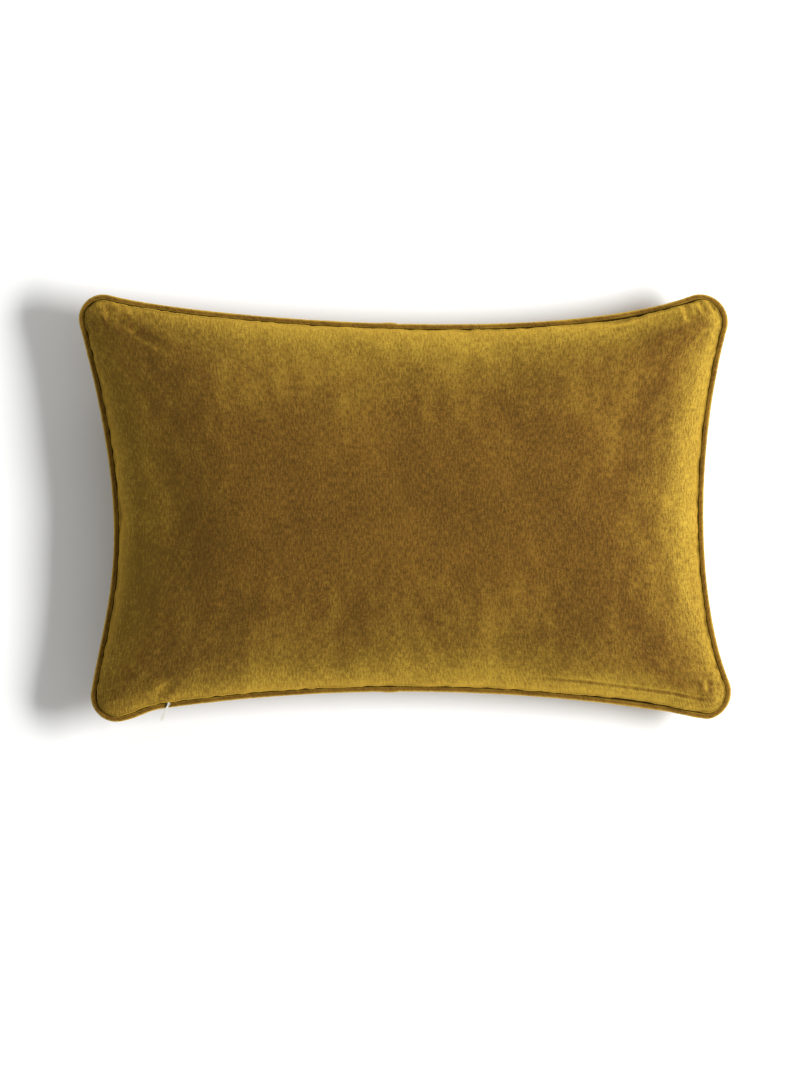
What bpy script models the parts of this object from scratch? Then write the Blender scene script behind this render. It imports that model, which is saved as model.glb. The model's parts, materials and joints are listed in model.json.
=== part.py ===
"""Rectangular throw pillow: a piped velvet cover with a concealed zip, over a filled insert.

The pillow lies on its back. Units are metres: +X runs along the zip, +Y away from it, +Z up, and
the origin is the middle of the box's resting face. Every layer at the rim follows one stitch line.
A place in a rim section is (n, z): n is the distance in from the stitch line, z the height above it.
"""
import math

import bmesh
import bpy
import numpy as np

# Overall size, measured on the stitch line
LENGTH = 0.597
WIDTH = 0.388
THICKNESS = 0.135
SEAM_HEIGHT = 0.060

# Corners, counter-clockwise from the zip's left end: side signs, insets of the arc's centre, radius,
# and the direction of the outward normal, in degrees, where the arc starts and ends
CORNERS = (
    {"side": (-1, -1), "inset": (0.030, 0.019), "radius": 0.019, "turn": (170, 278)},
    {"side": (1, -1), "inset": (0.021, 0.023), "radius": 0.021, "turn": (-75, 22)},
    {"side": (1, 1), "inset": (0.024, 0.021), "radius": 0.021, "turn": (-15, 110)},
    {"side": (-1, 1), "inset": (0.018, 0.018), "radius": 0.018, "turn": (74, 195)},
)
# How far each pulled-in side keeps its end directions, as shares of its chord
ZIP_LEFT_HANDLES = (0.35, 0.35)
ZIP_RIGHT_HANDLES = (0.12, 0.12)
RIGHT_HANDLES = (0.25, 0.36)
TOP_HANDLES = (0.27, 0.12)
LEFT_HANDLES = (0.60, 0.28)

# Zip side: the stitch line is an arc between the zip's ends, so that the slider can follow it
ZIP_SIDE_INSET = 0.028
ZIP_BOW = 0.01728
ZIP_ARC_X = -0.0005
ZIP_LEFT = -LENGTH / 2 + 0.072
ZIP_RIGHT = LENGTH / 2 - 0.053

# Cloth and cord
VELVET = 0.0012
PIPING_CLOTH = 0.0008
PIPING_RADIUS = 0.0025
PIPING_CENTRE = -0.0023
FLANGE_SLIT = 0.0003
CORD_CLEARANCE = 0.0002
ALLOWANCE = 0.008
REST_GAP = 0.0003
FOLD_HEIGHT = 0.0028
FOLD_NOSE = 0.0004
EDGING_REACH = 0.0035
EDGING_THREAD = 0.0004

# Insert
CASING_CLOTH = 0.0006
CASING_INSET = 0.014
INSERT_GAP = 0.0005
FILLING_INSET = 0.002
FILLING_GAP = 0.0006
FILLING_EDGE = 0.0006
FILLING_EASE = 0.0035

# Crown: a rise beside the seam, then a profile that is round across and flat-topped along
RIM_RISE = 0.012
RIM_RISE_WIDTH = 0.025
ACROSS_POWER = 2.0
ALONG_POWER = 4.0
PROFILE_POWER = 0.85
UNDERSIDE_DEPTH = 0.074

# Zip: its layers lie between the piping's flange and the lifted front panel
TAPE = 0.0003
TAPE_WIDTH = 0.0115
TAPE_END = 0.0025
TAPE_STEP = (0.0054, 0.0064)
COIL_HEIGHT = 0.0007
COIL_WIDTH = 0.0026
COIL_EDGE = 0.0016
COIL_GAP = 0.0002
STOP_LENGTH = 0.002
PLATE = 0.0005
PLATE_GAP = 0.00025
SLIDER_WALL = (0.0005, 0.0012)
SLIDER_DEPTH = 0.0050
SLIDER_LENGTH = 0.009
LIFT_RAMP = 0.020
LIFT_FADE = 0.060

# Slider's loop and the puller on its post
LUG = 0.0004
LUG_WIDTH = 0.001
LUG_REACH = -0.00155
POST_PLACE = -0.0011
POST_RADIUS = 0.00045
PULL_THICKNESS = 0.0008
PULL_GAP = 0.0002
PULL_EYE = 0.0014
PULL_HOLE = 0.00075
PULL_NECK = 0.0008
PULL_LENGTH = 0.018
PULL_WIDTH = 0.0036
PULL_REST_TURN = -24.0

# Mesh density
CORNER_STEPS = 2
ZIP_STEPS = 8
SIDE_STEPS = 7
ROUND_STEPS = 8
ZIP_SECTIONS = 25

# Heights above the stitch line, each worked out from the layer below it
FLANGE_TOP = FLANGE_SLIT / 2 + PIPING_CLOTH
ALLOWANCE_FACE = FLANGE_TOP + REST_GAP
PANEL_RIM = ALLOWANCE_FACE + FOLD_HEIGHT
LOWER_PLATE = FLANGE_TOP + REST_GAP
LOWER_TAPE = LOWER_PLATE + PLATE + PLATE_GAP
LOWER_COIL = LOWER_TAPE + TAPE + COIL_GAP
UPPER_COIL = LOWER_COIL + COIL_HEIGHT + COIL_GAP
UPPER_TAPE = UPPER_COIL + COIL_HEIGHT + COIL_GAP
UPPER_PLATE = UPPER_TAPE + TAPE + PLATE_GAP
SLIDER_TOP = UPPER_PLATE + PLATE
LIFTED_FACE = SLIDER_TOP + REST_GAP
ZIP_LIFT = LIFTED_FACE - ALLOWANCE_FACE
LOOP_BOTTOM = PIPING_RADIUS + REST_GAP
PULL_BOTTOM = LOOP_BOTTOM + LUG + PULL_GAP
LOOP_TOP = PULL_BOTTOM + PULL_THICKNESS + PULL_GAP + LUG

ZIP_HALF = (ZIP_RIGHT - ZIP_LEFT) / 2
ZIP_RADIUS = (ZIP_HALF**2 + ZIP_BOW**2) / (2 * ZIP_BOW)
ZIP_CENTRE = np.array([ZIP_ARC_X, -WIDTH / 2 + ZIP_SIDE_INSET - ZIP_RADIUS])
COIL_START = ZIP_LEFT + 0.002
COIL_END = ZIP_RIGHT + 0.003
SLIDER_REST_X = COIL_START + 0.0002 + SLIDER_LENGTH / 2


def clear_scene():
    for obj in list(bpy.data.objects):
        bpy.data.objects.remove(obj, do_unlink=True)


def make_material(name, colour, roughness, metallic=0.0):
    material = bpy.data.materials.new(name)
    material.use_nodes = True
    shader = material.node_tree.nodes["Principled BSDF"]
    shader.inputs["Base Color"].default_value = (*colour, 1.0)
    shader.inputs["Roughness"].default_value = roughness
    shader.inputs["Metallic"].default_value = metallic
    return material


def add_object(name, bm, material):
    mesh = bpy.data.meshes.new(name)
    bm.to_mesh(mesh)
    bm.free()
    mesh.materials.append(material)
    obj = bpy.data.objects.new(name, mesh)
    bpy.context.collection.objects.link(obj)
    return obj


def add_empty(name, location):
    empty = bpy.data.objects.new(name, None)
    empty.location = location
    bpy.context.collection.objects.link(empty)
    return empty


# ---- The stitch line ----


def heading(angle):
    """Direction of travel, counter-clockwise, where the outward normal points along angle."""
    return np.array([-math.sin(angle), math.cos(angle)])


def corner_centre(corner):
    half = np.array([LENGTH / 2, WIDTH / 2])
    return np.array(corner["side"]) * (half - np.array(corner["inset"]))


def corner_arc(corner, start, end, steps=16):
    angles = np.linspace(start, end, steps + 1)
    ring = np.stack([np.cos(angles), np.sin(angles)], axis=1)
    return corner_centre(corner) + corner["radius"] * ring


def zip_angle(x):
    """Angle at the zip arc's centre for a place at x along it."""
    return math.pi / 2 - math.asin((x - ZIP_ARC_X) / ZIP_RADIUS)


def zip_point(x):
    angle = zip_angle(x)
    return ZIP_CENTRE + ZIP_RADIUS * np.array([math.cos(angle), math.sin(angle)])


def side_curve(start, start_angle, end, end_angle, handles, steps=120):
    """A Bezier side that leaves and meets its ends along their tangents."""
    chord = np.linalg.norm(end - start)
    leave = start + heading(start_angle) * handles[0] * chord
    arrive = end - heading(end_angle) * handles[1] * chord
    t = np.linspace(0, 1, steps + 1)[:, None]
    weights = ((1 - t) ** 3, 3 * (1 - t) ** 2 * t, 3 * (1 - t) * t**2, t**3)
    return sum(w * p for w, p in zip(weights, (start, leave, arrive, end)))


def seam_sides():
    """Dense points of the four sides, each from the middle of one corner to the middle of the next."""
    turns = [tuple(math.radians(a) for a in corner["turn"]) for corner in CORNERS]
    arrive = [corner_arc(c, a, (a + b) / 2) for c, (a, b) in zip(CORNERS, turns)]
    leave = [corner_arc(c, (a + b) / 2, b) for c, (a, b) in zip(CORNERS, turns)]
    left_turn = zip_angle(ZIP_LEFT) - math.pi
    right_turn = zip_angle(ZIP_RIGHT) - math.pi
    zip_run = np.array([zip_point(x) for x in np.linspace(ZIP_LEFT, ZIP_RIGHT, 200)])
    middles = [
        [
            side_curve(leave[0][-1], turns[0][1], zip_run[0], left_turn, ZIP_LEFT_HANDLES),
            zip_run,
            side_curve(zip_run[-1], right_turn, arrive[1][0], turns[1][0], ZIP_RIGHT_HANDLES),
        ]
    ]
    for k, handles in ((1, RIGHT_HANDLES), (2, TOP_HANDLES), (3, LEFT_HANDLES)):
        after = (k + 1) % 4
        middles.append(
            [side_curve(leave[k][-1], turns[k][1], arrive[after][0], turns[after][0], handles)]
        )
    sides = []
    for k, middle in enumerate(middles):
        points = np.concatenate([leave[k], *middle, arrive[(k + 1) % 4]])
        apart = np.linalg.norm(np.diff(points, axis=0), axis=1) > 1e-7
        sides.append(points[np.concatenate([[True], apart])])
    return sides


def travel(points):
    """Distance from the first point to each point."""
    steps = np.linalg.norm(np.diff(points, axis=0), axis=1)
    return np.concatenate([[0.0], np.cumsum(steps)])


def spaced(marks, counts):
    """Positions that split each stretch between two marks into equal steps."""
    out = []
    for low, high, count in zip(marks, marks[1:], counts):
        out.extend(np.linspace(low, high, count, endpoint=False))
    return np.array([*out, marks[-1]])


def half_arc(corner):
    return corner["radius"] * math.radians(corner["turn"][1] - corner["turn"][0]) / 2


def sample(points, fractions):
    """Points and inward normals at these fractions of a side's length."""
    along = travel(points)
    tangent = np.gradient(points, along, axis=0)
    tangent /= np.linalg.norm(tangent, axis=1)[:, None]
    at = np.asarray(fractions) * along[-1]
    place = np.stack([np.interp(at, along, points[:, k]) for k in (0, 1)], axis=1)
    turn = np.stack([np.interp(at, along, tangent[:, k]) for k in (0, 1)], axis=1)
    turn /= np.linalg.norm(turn, axis=1)[:, None]
    return place, np.stack([-turn[:, 1], turn[:, 0]], axis=1)


def lift_at(x):
    """How far the front panel's rim stands above its usual height, beside the zip."""
    rise = (x - (ZIP_LEFT - TAPE_END - LIFT_RAMP)) / LIFT_RAMP
    fall = ((COIL_END + STOP_LENGTH + TAPE_END + LIFT_RAMP) - x) / LIFT_RAMP
    return ZIP_LIFT * float(np.clip(min(rise, fall), 0.0, 1.0))


def mean_shares(first, second):
    """Shares of their length at which two opposite sides have their points, on average."""
    return (travel(first) / travel(first)[-1] + travel(second) / travel(second)[-1]) / 2


class Rim:
    """The stations that every rim layer shares, and the grid of each face inside them."""

    def __init__(self):
        sides = seam_sides()
        zip_side, right_side = sides[0], sides[1]
        run = travel(zip_side)
        lifted = (ZIP_LEFT - TAPE_END, COIL_END + STOP_LENGTH + TAPE_END)
        marks = [
            0.0,
            half_arc(CORNERS[0]),
            np.interp(lifted[0] - LIFT_RAMP, zip_side[:, 0], run),
            np.interp(lifted[0], zip_side[:, 0], run),
            np.interp(lifted[1], zip_side[:, 0], run),
            np.interp(lifted[1] + LIFT_RAMP, zip_side[:, 0], run),
            run[-1] - half_arc(CORNERS[1]),
            run[-1],
        ]
        along = spaced(marks, (CORNER_STEPS, 1, 1, ZIP_STEPS, 1, 1, CORNER_STEPS)) / run[-1]
        height = travel(right_side)[-1]
        ends = (half_arc(CORNERS[1]), height - half_arc(CORNERS[2]))
        up = spaced([0.0, *ends, height], (CORNER_STEPS, SIDE_STEPS, CORNER_STEPS)) / height
        self.nx, self.ny = len(along) - 1, len(up) - 1
        stretches = (along, up, 1 - along[::-1], 1 - up[::-1])
        samples = [sample(side, f[:-1]) for side, f in zip(sides, stretches)]
        self.place = np.concatenate([p for p, _ in samples])
        self.inward = np.concatenate([n for _, n in samples])
        self.count = len(self.place)
        self.lift = np.zeros(self.count)
        self.lift[: self.nx] = [lift_at(x) for x in self.place[: self.nx, 0]]
        self.closed_from = self.nx - CORNER_STEPS - 1

    def offset(self, inset):
        return self.place + self.inward * inset

    def loop_index(self):
        """Grid indices of the boundary, counter-clockwise, in the stations' order."""
        nx, ny = self.nx, self.ny
        loop = [(i, 0) for i in range(nx)] + [(nx, j) for j in range(ny)]
        loop += [(nx - i, ny) for i in range(nx)] + [(0, ny - j) for j in range(ny)]
        return loop

    def grid(self, inset):
        """A Coons patch inside the offset stitch line: its places, and its shares along X and Y."""
        edge = self.offset(inset)
        nx, ny = self.nx, self.ny
        ring = np.concatenate([edge, edge[:1]])
        bottom, right = ring[: nx + 1], ring[nx : nx + ny + 1]
        top = ring[nx + ny : 2 * nx + ny + 1][::-1]
        left = ring[2 * nx + ny :][::-1]
        shares = mean_shares(bottom, top), mean_shares(left, right)
        s, t = shares[0][:, None, None], shares[1][None, :, None]
        across = (1 - t) * bottom[:, None] + t * top[:, None]
        along = (1 - s) * left[None] + s * right[None]
        lower = (1 - s) * bottom[0] + s * bottom[-1]
        upper = (1 - s) * top[0] + s * top[-1]
        return across + along - (1 - t) * lower - t * upper, *shares


def edge_distance(grid, edge):
    """Distance of each grid place from a closed outline."""
    start, end = edge, np.roll(edge, -1, axis=0)
    run = end - start
    gap = grid[..., None, :] - start
    t = np.clip((gap * run).sum(-1) / (run * run).sum(-1), 0, 1)
    return np.linalg.norm(gap - t[..., None] * run, axis=-1).min(-1)


def crown(rim, inset, base, peak, rise=RIM_RISE):
    """Heights over a grid: base at the edge, a rounded rise beside it, and peak in the middle."""
    grid, s, t = rim.grid(inset)
    depth = edge_distance(grid, rim.offset(inset))
    shoulder = 1 - (1 - np.clip(depth / RIM_RISE_WIDTH, 0, 1)) ** 2
    across = 1 - np.abs(2 * t - 1) ** ACROSS_POWER
    along = 1 - np.abs(2 * s - 1) ** ALONG_POWER
    body = np.outer(along, across) ** PROFILE_POWER
    return grid, base + rise * shoulder + (peak - base - rise) * body


# ---- Solids ----


def grid_faces(bm, verts, flip):
    for i in range(len(verts) - 1):
        for j in range(len(verts[0]) - 1):
            quad = [verts[i][j], verts[i + 1][j], verts[i + 1][j + 1], verts[i][j + 1]]
            bm.faces.new(quad[::-1] if flip else quad)


def place_grid(bm, grid, heights):
    return [
        [bm.verts.new((*grid[i, j], SEAM_HEIGHT + heights[i, j])) for j in range(grid.shape[1])]
        for i in range(grid.shape[0])
    ]


def thicken(obj, thickness):
    cloth = obj.modifiers.new("cloth", "SOLIDIFY")
    cloth.thickness = thickness
    cloth.offset = -1
    cloth.use_even_offset = True
    cloth.use_quality_normals = True
    return obj


def cover_panel(name, rim, material, side):
    """One velvet face with its folded rim and seam allowance. side is +1 in front, -1 behind."""
    peak = THICKNESS - SEAM_HEIGHT if side > 0 else UNDERSIDE_DEPTH
    grid, heights = crown(rim, FOLD_NOSE, PANEL_RIM, peak)
    lift = rim.lift if side > 0 else np.zeros(rim.count)
    fade = np.clip(1 - edge_distance(grid, rim.offset(FOLD_NOSE)) / LIFT_FADE, 0, 1) ** 2
    heights += np.append(lift[: rim.nx], 0.0)[:, None] * fade
    if side < 0:
        heights = np.minimum(heights, SEAM_HEIGHT)
    bm = bmesh.new()
    verts = place_grid(bm, grid, side * heights)
    grid_faces(bm, verts, flip=side < 0)
    ring = [verts[i][j] for i, j in rim.loop_index()]
    fold = (
        (0.0, ALLOWANCE_FACE + FOLD_HEIGHT / 2),
        (FOLD_NOSE, ALLOWANCE_FACE),
        (ALLOWANCE, ALLOWANCE_FACE),
    )
    for inset, height in fold:
        edge = rim.offset(inset)
        after = [
            bm.verts.new((*p, SEAM_HEIGHT + side * (height + up))) for p, up in zip(edge, lift)
        ]
        for k in range(rim.count):
            n = (k + 1) % rim.count
            quad = [ring[k], after[k], after[n], ring[n]]
            bm.faces.new(quad if side > 0 else quad[::-1])
        ring = after
    return thicken(add_object(name, bm, material), VELVET)


def casing_panel(name, rim, material, side):
    """One face of the insert's shell, just inside the cover's."""
    base = FLANGE_SLIT / 2 + CASING_CLOTH
    inner_gap = VELVET + INSERT_GAP
    peak = (THICKNESS - SEAM_HEIGHT if side > 0 else UNDERSIDE_DEPTH) - inner_gap
    grid, heights = crown(rim, CASING_INSET, base, peak)
    if side < 0:
        heights = np.minimum(heights, SEAM_HEIGHT - inner_gap)
    bm = bmesh.new()
    grid_faces(bm, place_grid(bm, grid, side * heights), flip=side < 0)
    return thicken(add_object(name, bm, material), CASING_CLOTH)


def filling(rim, material):
    """The fibre filling, one closed body inside the casing."""
    inner_gap = VELVET + INSERT_GAP + CASING_CLOTH + FILLING_GAP
    inset = CASING_INSET + FILLING_INSET
    rise = RIM_RISE - FILLING_EASE
    grid, top = crown(rim, inset, FILLING_EDGE, THICKNESS - SEAM_HEIGHT - inner_gap, rise)
    _, low = crown(rim, inset, FILLING_EDGE, UNDERSIDE_DEPTH - inner_gap, rise)
    low = np.minimum(low, SEAM_HEIGHT - inner_gap)
    bm = bmesh.new()
    upper, lower = place_grid(bm, grid, top), place_grid(bm, grid, -low)
    grid_faces(bm, upper, flip=False)
    grid_faces(bm, lower, flip=True)
    loop = rim.loop_index()
    for (i, j), (a, b) in zip(loop, loop[1:] + loop[:1]):
        bm.faces.new([lower[i][j], lower[a][b], upper[a][b], upper[i][j]])
    return add_object("insert_filling", bm, material)


def sweep_sheet(stations, profile, closed, flip=False):
    """A sheet along rim stations, (place, inward) pairs, with one row of (n, z) per station."""
    bm = bmesh.new()
    rows = [
        [bm.verts.new((*(place + inward * n), SEAM_HEIGHT + z)) for n, z in profile]
        for place, inward in stations
    ]
    pairs = list(zip(rows, rows[1:])) + ([(rows[-1], rows[0])] if closed else [])
    for row, after in pairs:
        for m in range(len(profile) - 1):
            quad = [row[m], row[m + 1], after[m + 1], after[m]]
            bm.faces.new(quad[::-1] if flip else quad)
    return bm


def sweep_solid(stations, profile, closed):
    """A solid bar of closed section along rim stations, capped at its ends if it is open."""
    bm = sweep_sheet(stations, [*profile, profile[0]], closed)
    bmesh.ops.remove_doubles(bm, verts=bm.verts, dist=1e-7)
    if not closed:
        bmesh.ops.holes_fill(bm, edges=bm.edges)
    bmesh.ops.recalc_face_normals(bm, faces=bm.faces)
    return bm


def circle_section(centre, radius, start=0.0, end=2 * math.pi, steps=ROUND_STEPS, whole=True):
    count = steps if whole else steps + 1
    angles = start + (end - start) * np.arange(count) / steps
    return [(centre + radius * math.cos(a), radius * math.sin(a)) for a in angles]


def piping(rim, cloth_material, cord_material):
    stations = list(zip(rim.place, rim.inward))
    start = math.asin(FLANGE_TOP / PIPING_RADIUS)
    tube = circle_section(
        PIPING_CENTRE, PIPING_RADIUS, start, 2 * math.pi - start, ROUND_STEPS, whole=False
    )
    profile = [(ALLOWANCE, FLANGE_TOP), *tube, (ALLOWANCE, -FLANGE_TOP)]
    bm = sweep_sheet(stations, profile, closed=True)
    thicken(add_object("piping_cover", bm, cloth_material), PIPING_CLOTH)
    flat = math.cos((math.pi - start) / ROUND_STEPS)
    cord_radius = PIPING_RADIUS * flat - PIPING_CLOTH - CORD_CLEARANCE
    bm = sweep_solid(stations, circle_section(PIPING_CENTRE, cord_radius), closed=True)
    add_object("piping_cord", bm, cord_material)


def overlock_edging(rim, material):
    """Thread edging round the raw edges of the stack, on the three sides without the zip."""
    first = rim.closed_from
    order = list(range(first, rim.count)) + list(range(CORNER_STEPS + 1))
    stations = [(rim.place[k], rim.inward[k]) for k in order]
    top = ALLOWANCE_FACE + VELVET + REST_GAP + EDGING_THREAD
    end = ALLOWANCE + REST_GAP + EDGING_THREAD
    start = ALLOWANCE - EDGING_REACH
    profile = [(start, top), (end, top), (end, -top), (start, -top)]
    bm = sweep_sheet(stations, profile, closed=False, flip=True)
    thicken(add_object("overlock_edging", bm, material), EDGING_THREAD)


# ---- Zip ----


def zip_stations(side, start, end, count=ZIP_SECTIONS):
    """Stations on the zip's side between two places along X."""
    along = travel(side)
    at = np.interp([start, end], side[:, 0], along)
    return list(zip(*sample(side, np.linspace(at[0], at[1], count) / along[-1])))


def box_section(n_low, n_high, z_low, z_high):
    return [(n_low, z_low), (n_high, z_low), (n_high, z_high), (n_low, z_high)]


def tape_section(z, outer_z):
    """A tape that steps from its coil to the allowance it is sewn to."""
    under = [(COIL_EDGE, z), (TAPE_STEP[0], z), (TAPE_STEP[1], outer_z)]
    under.append((COIL_EDGE + TAPE_WIDTH, outer_z))
    return under + [(n, height + TAPE) for n, height in reversed(under)]


def zip_chain(side, materials):
    """Tapes, coils and stops, between the flange below and the front allowance above."""
    tape_run = zip_stations(side, ZIP_LEFT - TAPE_END, COIL_END + STOP_LENGTH + TAPE_END)
    coil_run = zip_stations(side, COIL_START, COIL_END)
    tapes = (
        ("zip_tape_lower", LOWER_TAPE, LOWER_PLATE),
        ("zip_tape_upper", UPPER_TAPE, LIFTED_FACE - REST_GAP - TAPE),
    )
    for name, z, outer_z in tapes:
        add_object(name, sweep_solid(tape_run, tape_section(z, outer_z), False), materials["tape"])
    coil_inner = COIL_EDGE + COIL_WIDTH
    for name, z in (("zip_coil_lower", LOWER_COIL), ("zip_coil_upper", UPPER_COIL)):
        section = box_section(COIL_EDGE, coil_inner, z, z + COIL_HEIGHT)
        add_object(name, sweep_solid(coil_run, section, False), materials["coil"])
    stop_run = zip_stations(side, COIL_START - REST_GAP - STOP_LENGTH, COIL_START - REST_GAP, 2)
    for name, z in (("zip_top_stop_lower", LOWER_COIL), ("zip_top_stop_upper", UPPER_COIL)):
        section = box_section(COIL_EDGE, coil_inner, z, z + COIL_HEIGHT)
        add_object(name, sweep_solid(stop_run, section, False), materials["stop"])
    section = box_section(COIL_EDGE, coil_inner, LOWER_COIL, UPPER_COIL + COIL_HEIGHT)
    stop_run = zip_stations(side, COIL_END + REST_GAP, COIL_END + REST_GAP + STOP_LENGTH, 2)
    add_object("zip_bottom_stop", sweep_solid(stop_run, section, False), materials["stop"])


def add_box(bm, low, high):
    made = bmesh.ops.create_cube(bm, size=1.0)["verts"]
    size = [b - a for a, b in zip(low, high)]
    middle = [(a + b) / 2 for a, b in zip(low, high)]
    bmesh.ops.scale(bm, vec=size, verts=made)
    bmesh.ops.translate(bm, vec=middle, verts=made)


def helper_box(name, low, high):
    """A hidden box that a Boolean joins to a visible piece."""
    bm = bmesh.new()
    add_box(bm, low, high)
    mesh = bpy.data.meshes.new(name)
    bm.to_mesh(mesh)
    bm.free()
    return helper(name, mesh)


def helper_post(name, radius, low, high, steps=12):
    bm = bmesh.new()
    made = bmesh.ops.create_cone(
        bm,
        cap_ends=True,
        segments=steps,
        radius1=radius,
        radius2=radius,
        depth=high - low,
    )["verts"]
    bmesh.ops.translate(bm, vec=(0, 0, (low + high) / 2), verts=made)
    mesh = bpy.data.meshes.new(name)
    bm.to_mesh(mesh)
    bm.free()
    return helper(name, mesh)


def helper(name, mesh):
    obj = bpy.data.objects.new(name, mesh)
    obj.hide_render = True
    obj.display_type = "WIRE"
    bpy.context.collection.objects.link(obj)
    return obj


def combine(obj, other, operation):
    step = obj.modifiers.new(other.name, "BOOLEAN")
    step.operation = operation
    step.object = other
    other.parent = obj


def zip_slider(axis, material):
    """A C-shaped slider, open to the chain, with a loop on its outer wall for the puller."""
    half = SLIDER_LENGTH / 2
    outer, inner = SLIDER_WALL
    section = [
        (outer, LOWER_PLATE),
        (SLIDER_DEPTH, LOWER_PLATE),
        (SLIDER_DEPTH, LOWER_PLATE + PLATE),
        (inner, LOWER_PLATE + PLATE),
        (inner, UPPER_PLATE),
        (SLIDER_DEPTH, UPPER_PLATE),
        (SLIDER_DEPTH, SLIDER_TOP),
        (outer, SLIDER_TOP),
    ]
    bm = bmesh.new()
    face = bm.faces.new([bm.verts.new((-half, n, z)) for n, z in section])
    grown = bmesh.ops.extrude_face_region(bm, geom=[face])["geom"]
    moved = [g for g in grown if isinstance(g, bmesh.types.BMVert)]
    bmesh.ops.translate(bm, vec=(SLIDER_LENGTH, 0, 0), verts=moved)
    bmesh.ops.recalc_face_normals(bm, faces=bm.faces)
    slider = add_object("zip_slider", bm, material)
    lug_half = LUG_WIDTH / 2
    root = (outer + inner) / 2
    lugs = (("lower_lug", LOOP_BOTTOM), ("upper_lug", LOOP_TOP - LUG))
    for name, z in lugs:
        lug = helper_box(name, (-lug_half, LUG_REACH, z), (lug_half, root, z + LUG))
        combine(slider, lug, "UNION")
    post = helper_post("loop_post", POST_RADIUS, LOOP_BOTTOM + LUG / 2, LOOP_TOP - LUG / 2)
    post.location = (0, POST_PLACE, 0)
    combine(slider, post, "UNION")
    place = zip_point(SLIDER_REST_X) - ZIP_CENTRE
    slider.parent = axis
    slider.location = (place[0], place[1], 0)
    slider.rotation_euler = (0, 0, zip_angle(SLIDER_REST_X) - math.pi / 2)
    return slider


def pull_outline(steps=12):
    """Half-widths along the puller: an eye, a neck and a slim leaf with a rounded tip."""
    blend = math.sqrt(PULL_EYE**2 - PULL_NECK**2)
    eye = [(PULL_EYE * math.cos(a), PULL_EYE * math.sin(a)) for a in np.linspace(math.pi, 1, 9)]
    points = [(x, w) for x, w in eye if x < blend]
    points.append((blend, PULL_NECK))
    leaf_start = PULL_LENGTH * 0.16
    for k in range(steps):
        share = (k / steps) ** 0.8
        swell = math.sin(math.pi * (0.5 * share + 0.5 * share**2.2)) ** 0.8
        width = PULL_NECK * (1 - share**3) + (PULL_WIDTH / 2 - PULL_NECK) * swell
        points.append((leaf_start + (PULL_LENGTH - leaf_start) * share, width))
    return points + [(PULL_LENGTH, 0.0)]


def zip_pull(slider, material):
    """A flat slim puller whose eye turns on the slider's post."""
    points = pull_outline()
    upper = [(-w, -x) for x, w in points[1:-1]]
    lower = [(w, -x) for x, w in reversed(points[1:-1])]
    outline = [(0.0, -points[0][0]), *upper, (0.0, -points[-1][0]), *lower]
    bm = bmesh.new()
    face = bm.faces.new([bm.verts.new((x, y, PULL_BOTTOM)) for x, y in outline])
    grown = bmesh.ops.extrude_face_region(bm, geom=[face])["geom"]
    moved = [g for g in grown if isinstance(g, bmesh.types.BMVert)]
    bmesh.ops.translate(bm, vec=(0, 0, PULL_THICKNESS), verts=moved)
    bmesh.ops.recalc_face_normals(bm, faces=bm.faces)
    pull = add_object("zip_pull", bm, material)
    low, high = PULL_BOTTOM - PULL_GAP / 2, PULL_BOTTOM + PULL_THICKNESS + PULL_GAP / 2
    combine(pull, helper_post("eye_hole", PULL_HOLE, low, high, 16), "DIFFERENCE")
    pull.parent = slider
    pull.location = (0, POST_PLACE, 0)
    pull.rotation_euler = (0, 0, math.radians(PULL_REST_TURN) - slider.rotation_euler[2])


def build():
    clear_scene()
    velvet = make_material("mustard_velvet", (0.46, 0.26, 0.035), 0.85)
    cotton = make_material("cotton_cord", (0.80, 0.76, 0.68), 0.9)
    thread = make_material("ochre_thread", (0.50, 0.30, 0.06), 0.8)
    casing = make_material("white_cotton", (0.85, 0.84, 0.80), 0.9)
    fibre = make_material("white_fibre", (0.90, 0.90, 0.88), 0.95)
    lacquer = make_material("white_lacquer", (0.86, 0.85, 0.82), 0.35)
    zip_materials = {
        "tape": make_material("zip_tape", (0.48, 0.30, 0.07), 0.85),
        "coil": make_material("nylon_coil", (0.50, 0.33, 0.10), 0.45),
        "stop": make_material("stop_metal", (0.70, 0.68, 0.62), 0.4, 1.0),
    }
    rim = Rim()
    cover_panel("front_panel", rim, velvet, 1)
    cover_panel("back_panel", rim, velvet, -1)
    piping(rim, velvet, cotton)
    overlock_edging(rim, thread)
    casing_panel("insert_casing_front", rim, casing, 1)
    casing_panel("insert_casing_back", rim, casing, -1)
    filling(rim, fibre)
    zip_chain(seam_sides()[0], zip_materials)
    axis = add_empty("zip_arc_axis", (*ZIP_CENTRE, SEAM_HEIGHT))
    slider = zip_slider(axis, lacquer)
    zip_pull(slider, lacquer)


build()
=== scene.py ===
# %% [markdown]
# # A piped velvet throw pillow
# The pillow is a rectangular cover of mustard cotton velvet over a filled insert. Its edge is
# piped with the same velvet, and a concealed zip closes one long seam. The fixed frame gives
# every hard piece and every size. This lesson dresses it: the cover is sewn and inflated as
# cloth, the piping and the cord in it are swept along the same seam, the zip gets its coils, and
# each surface gets a finish made from nodes.

# %% Load the frame
import json
import math

import bmesh
import bpy
import numpy as np
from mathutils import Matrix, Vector, noise


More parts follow.
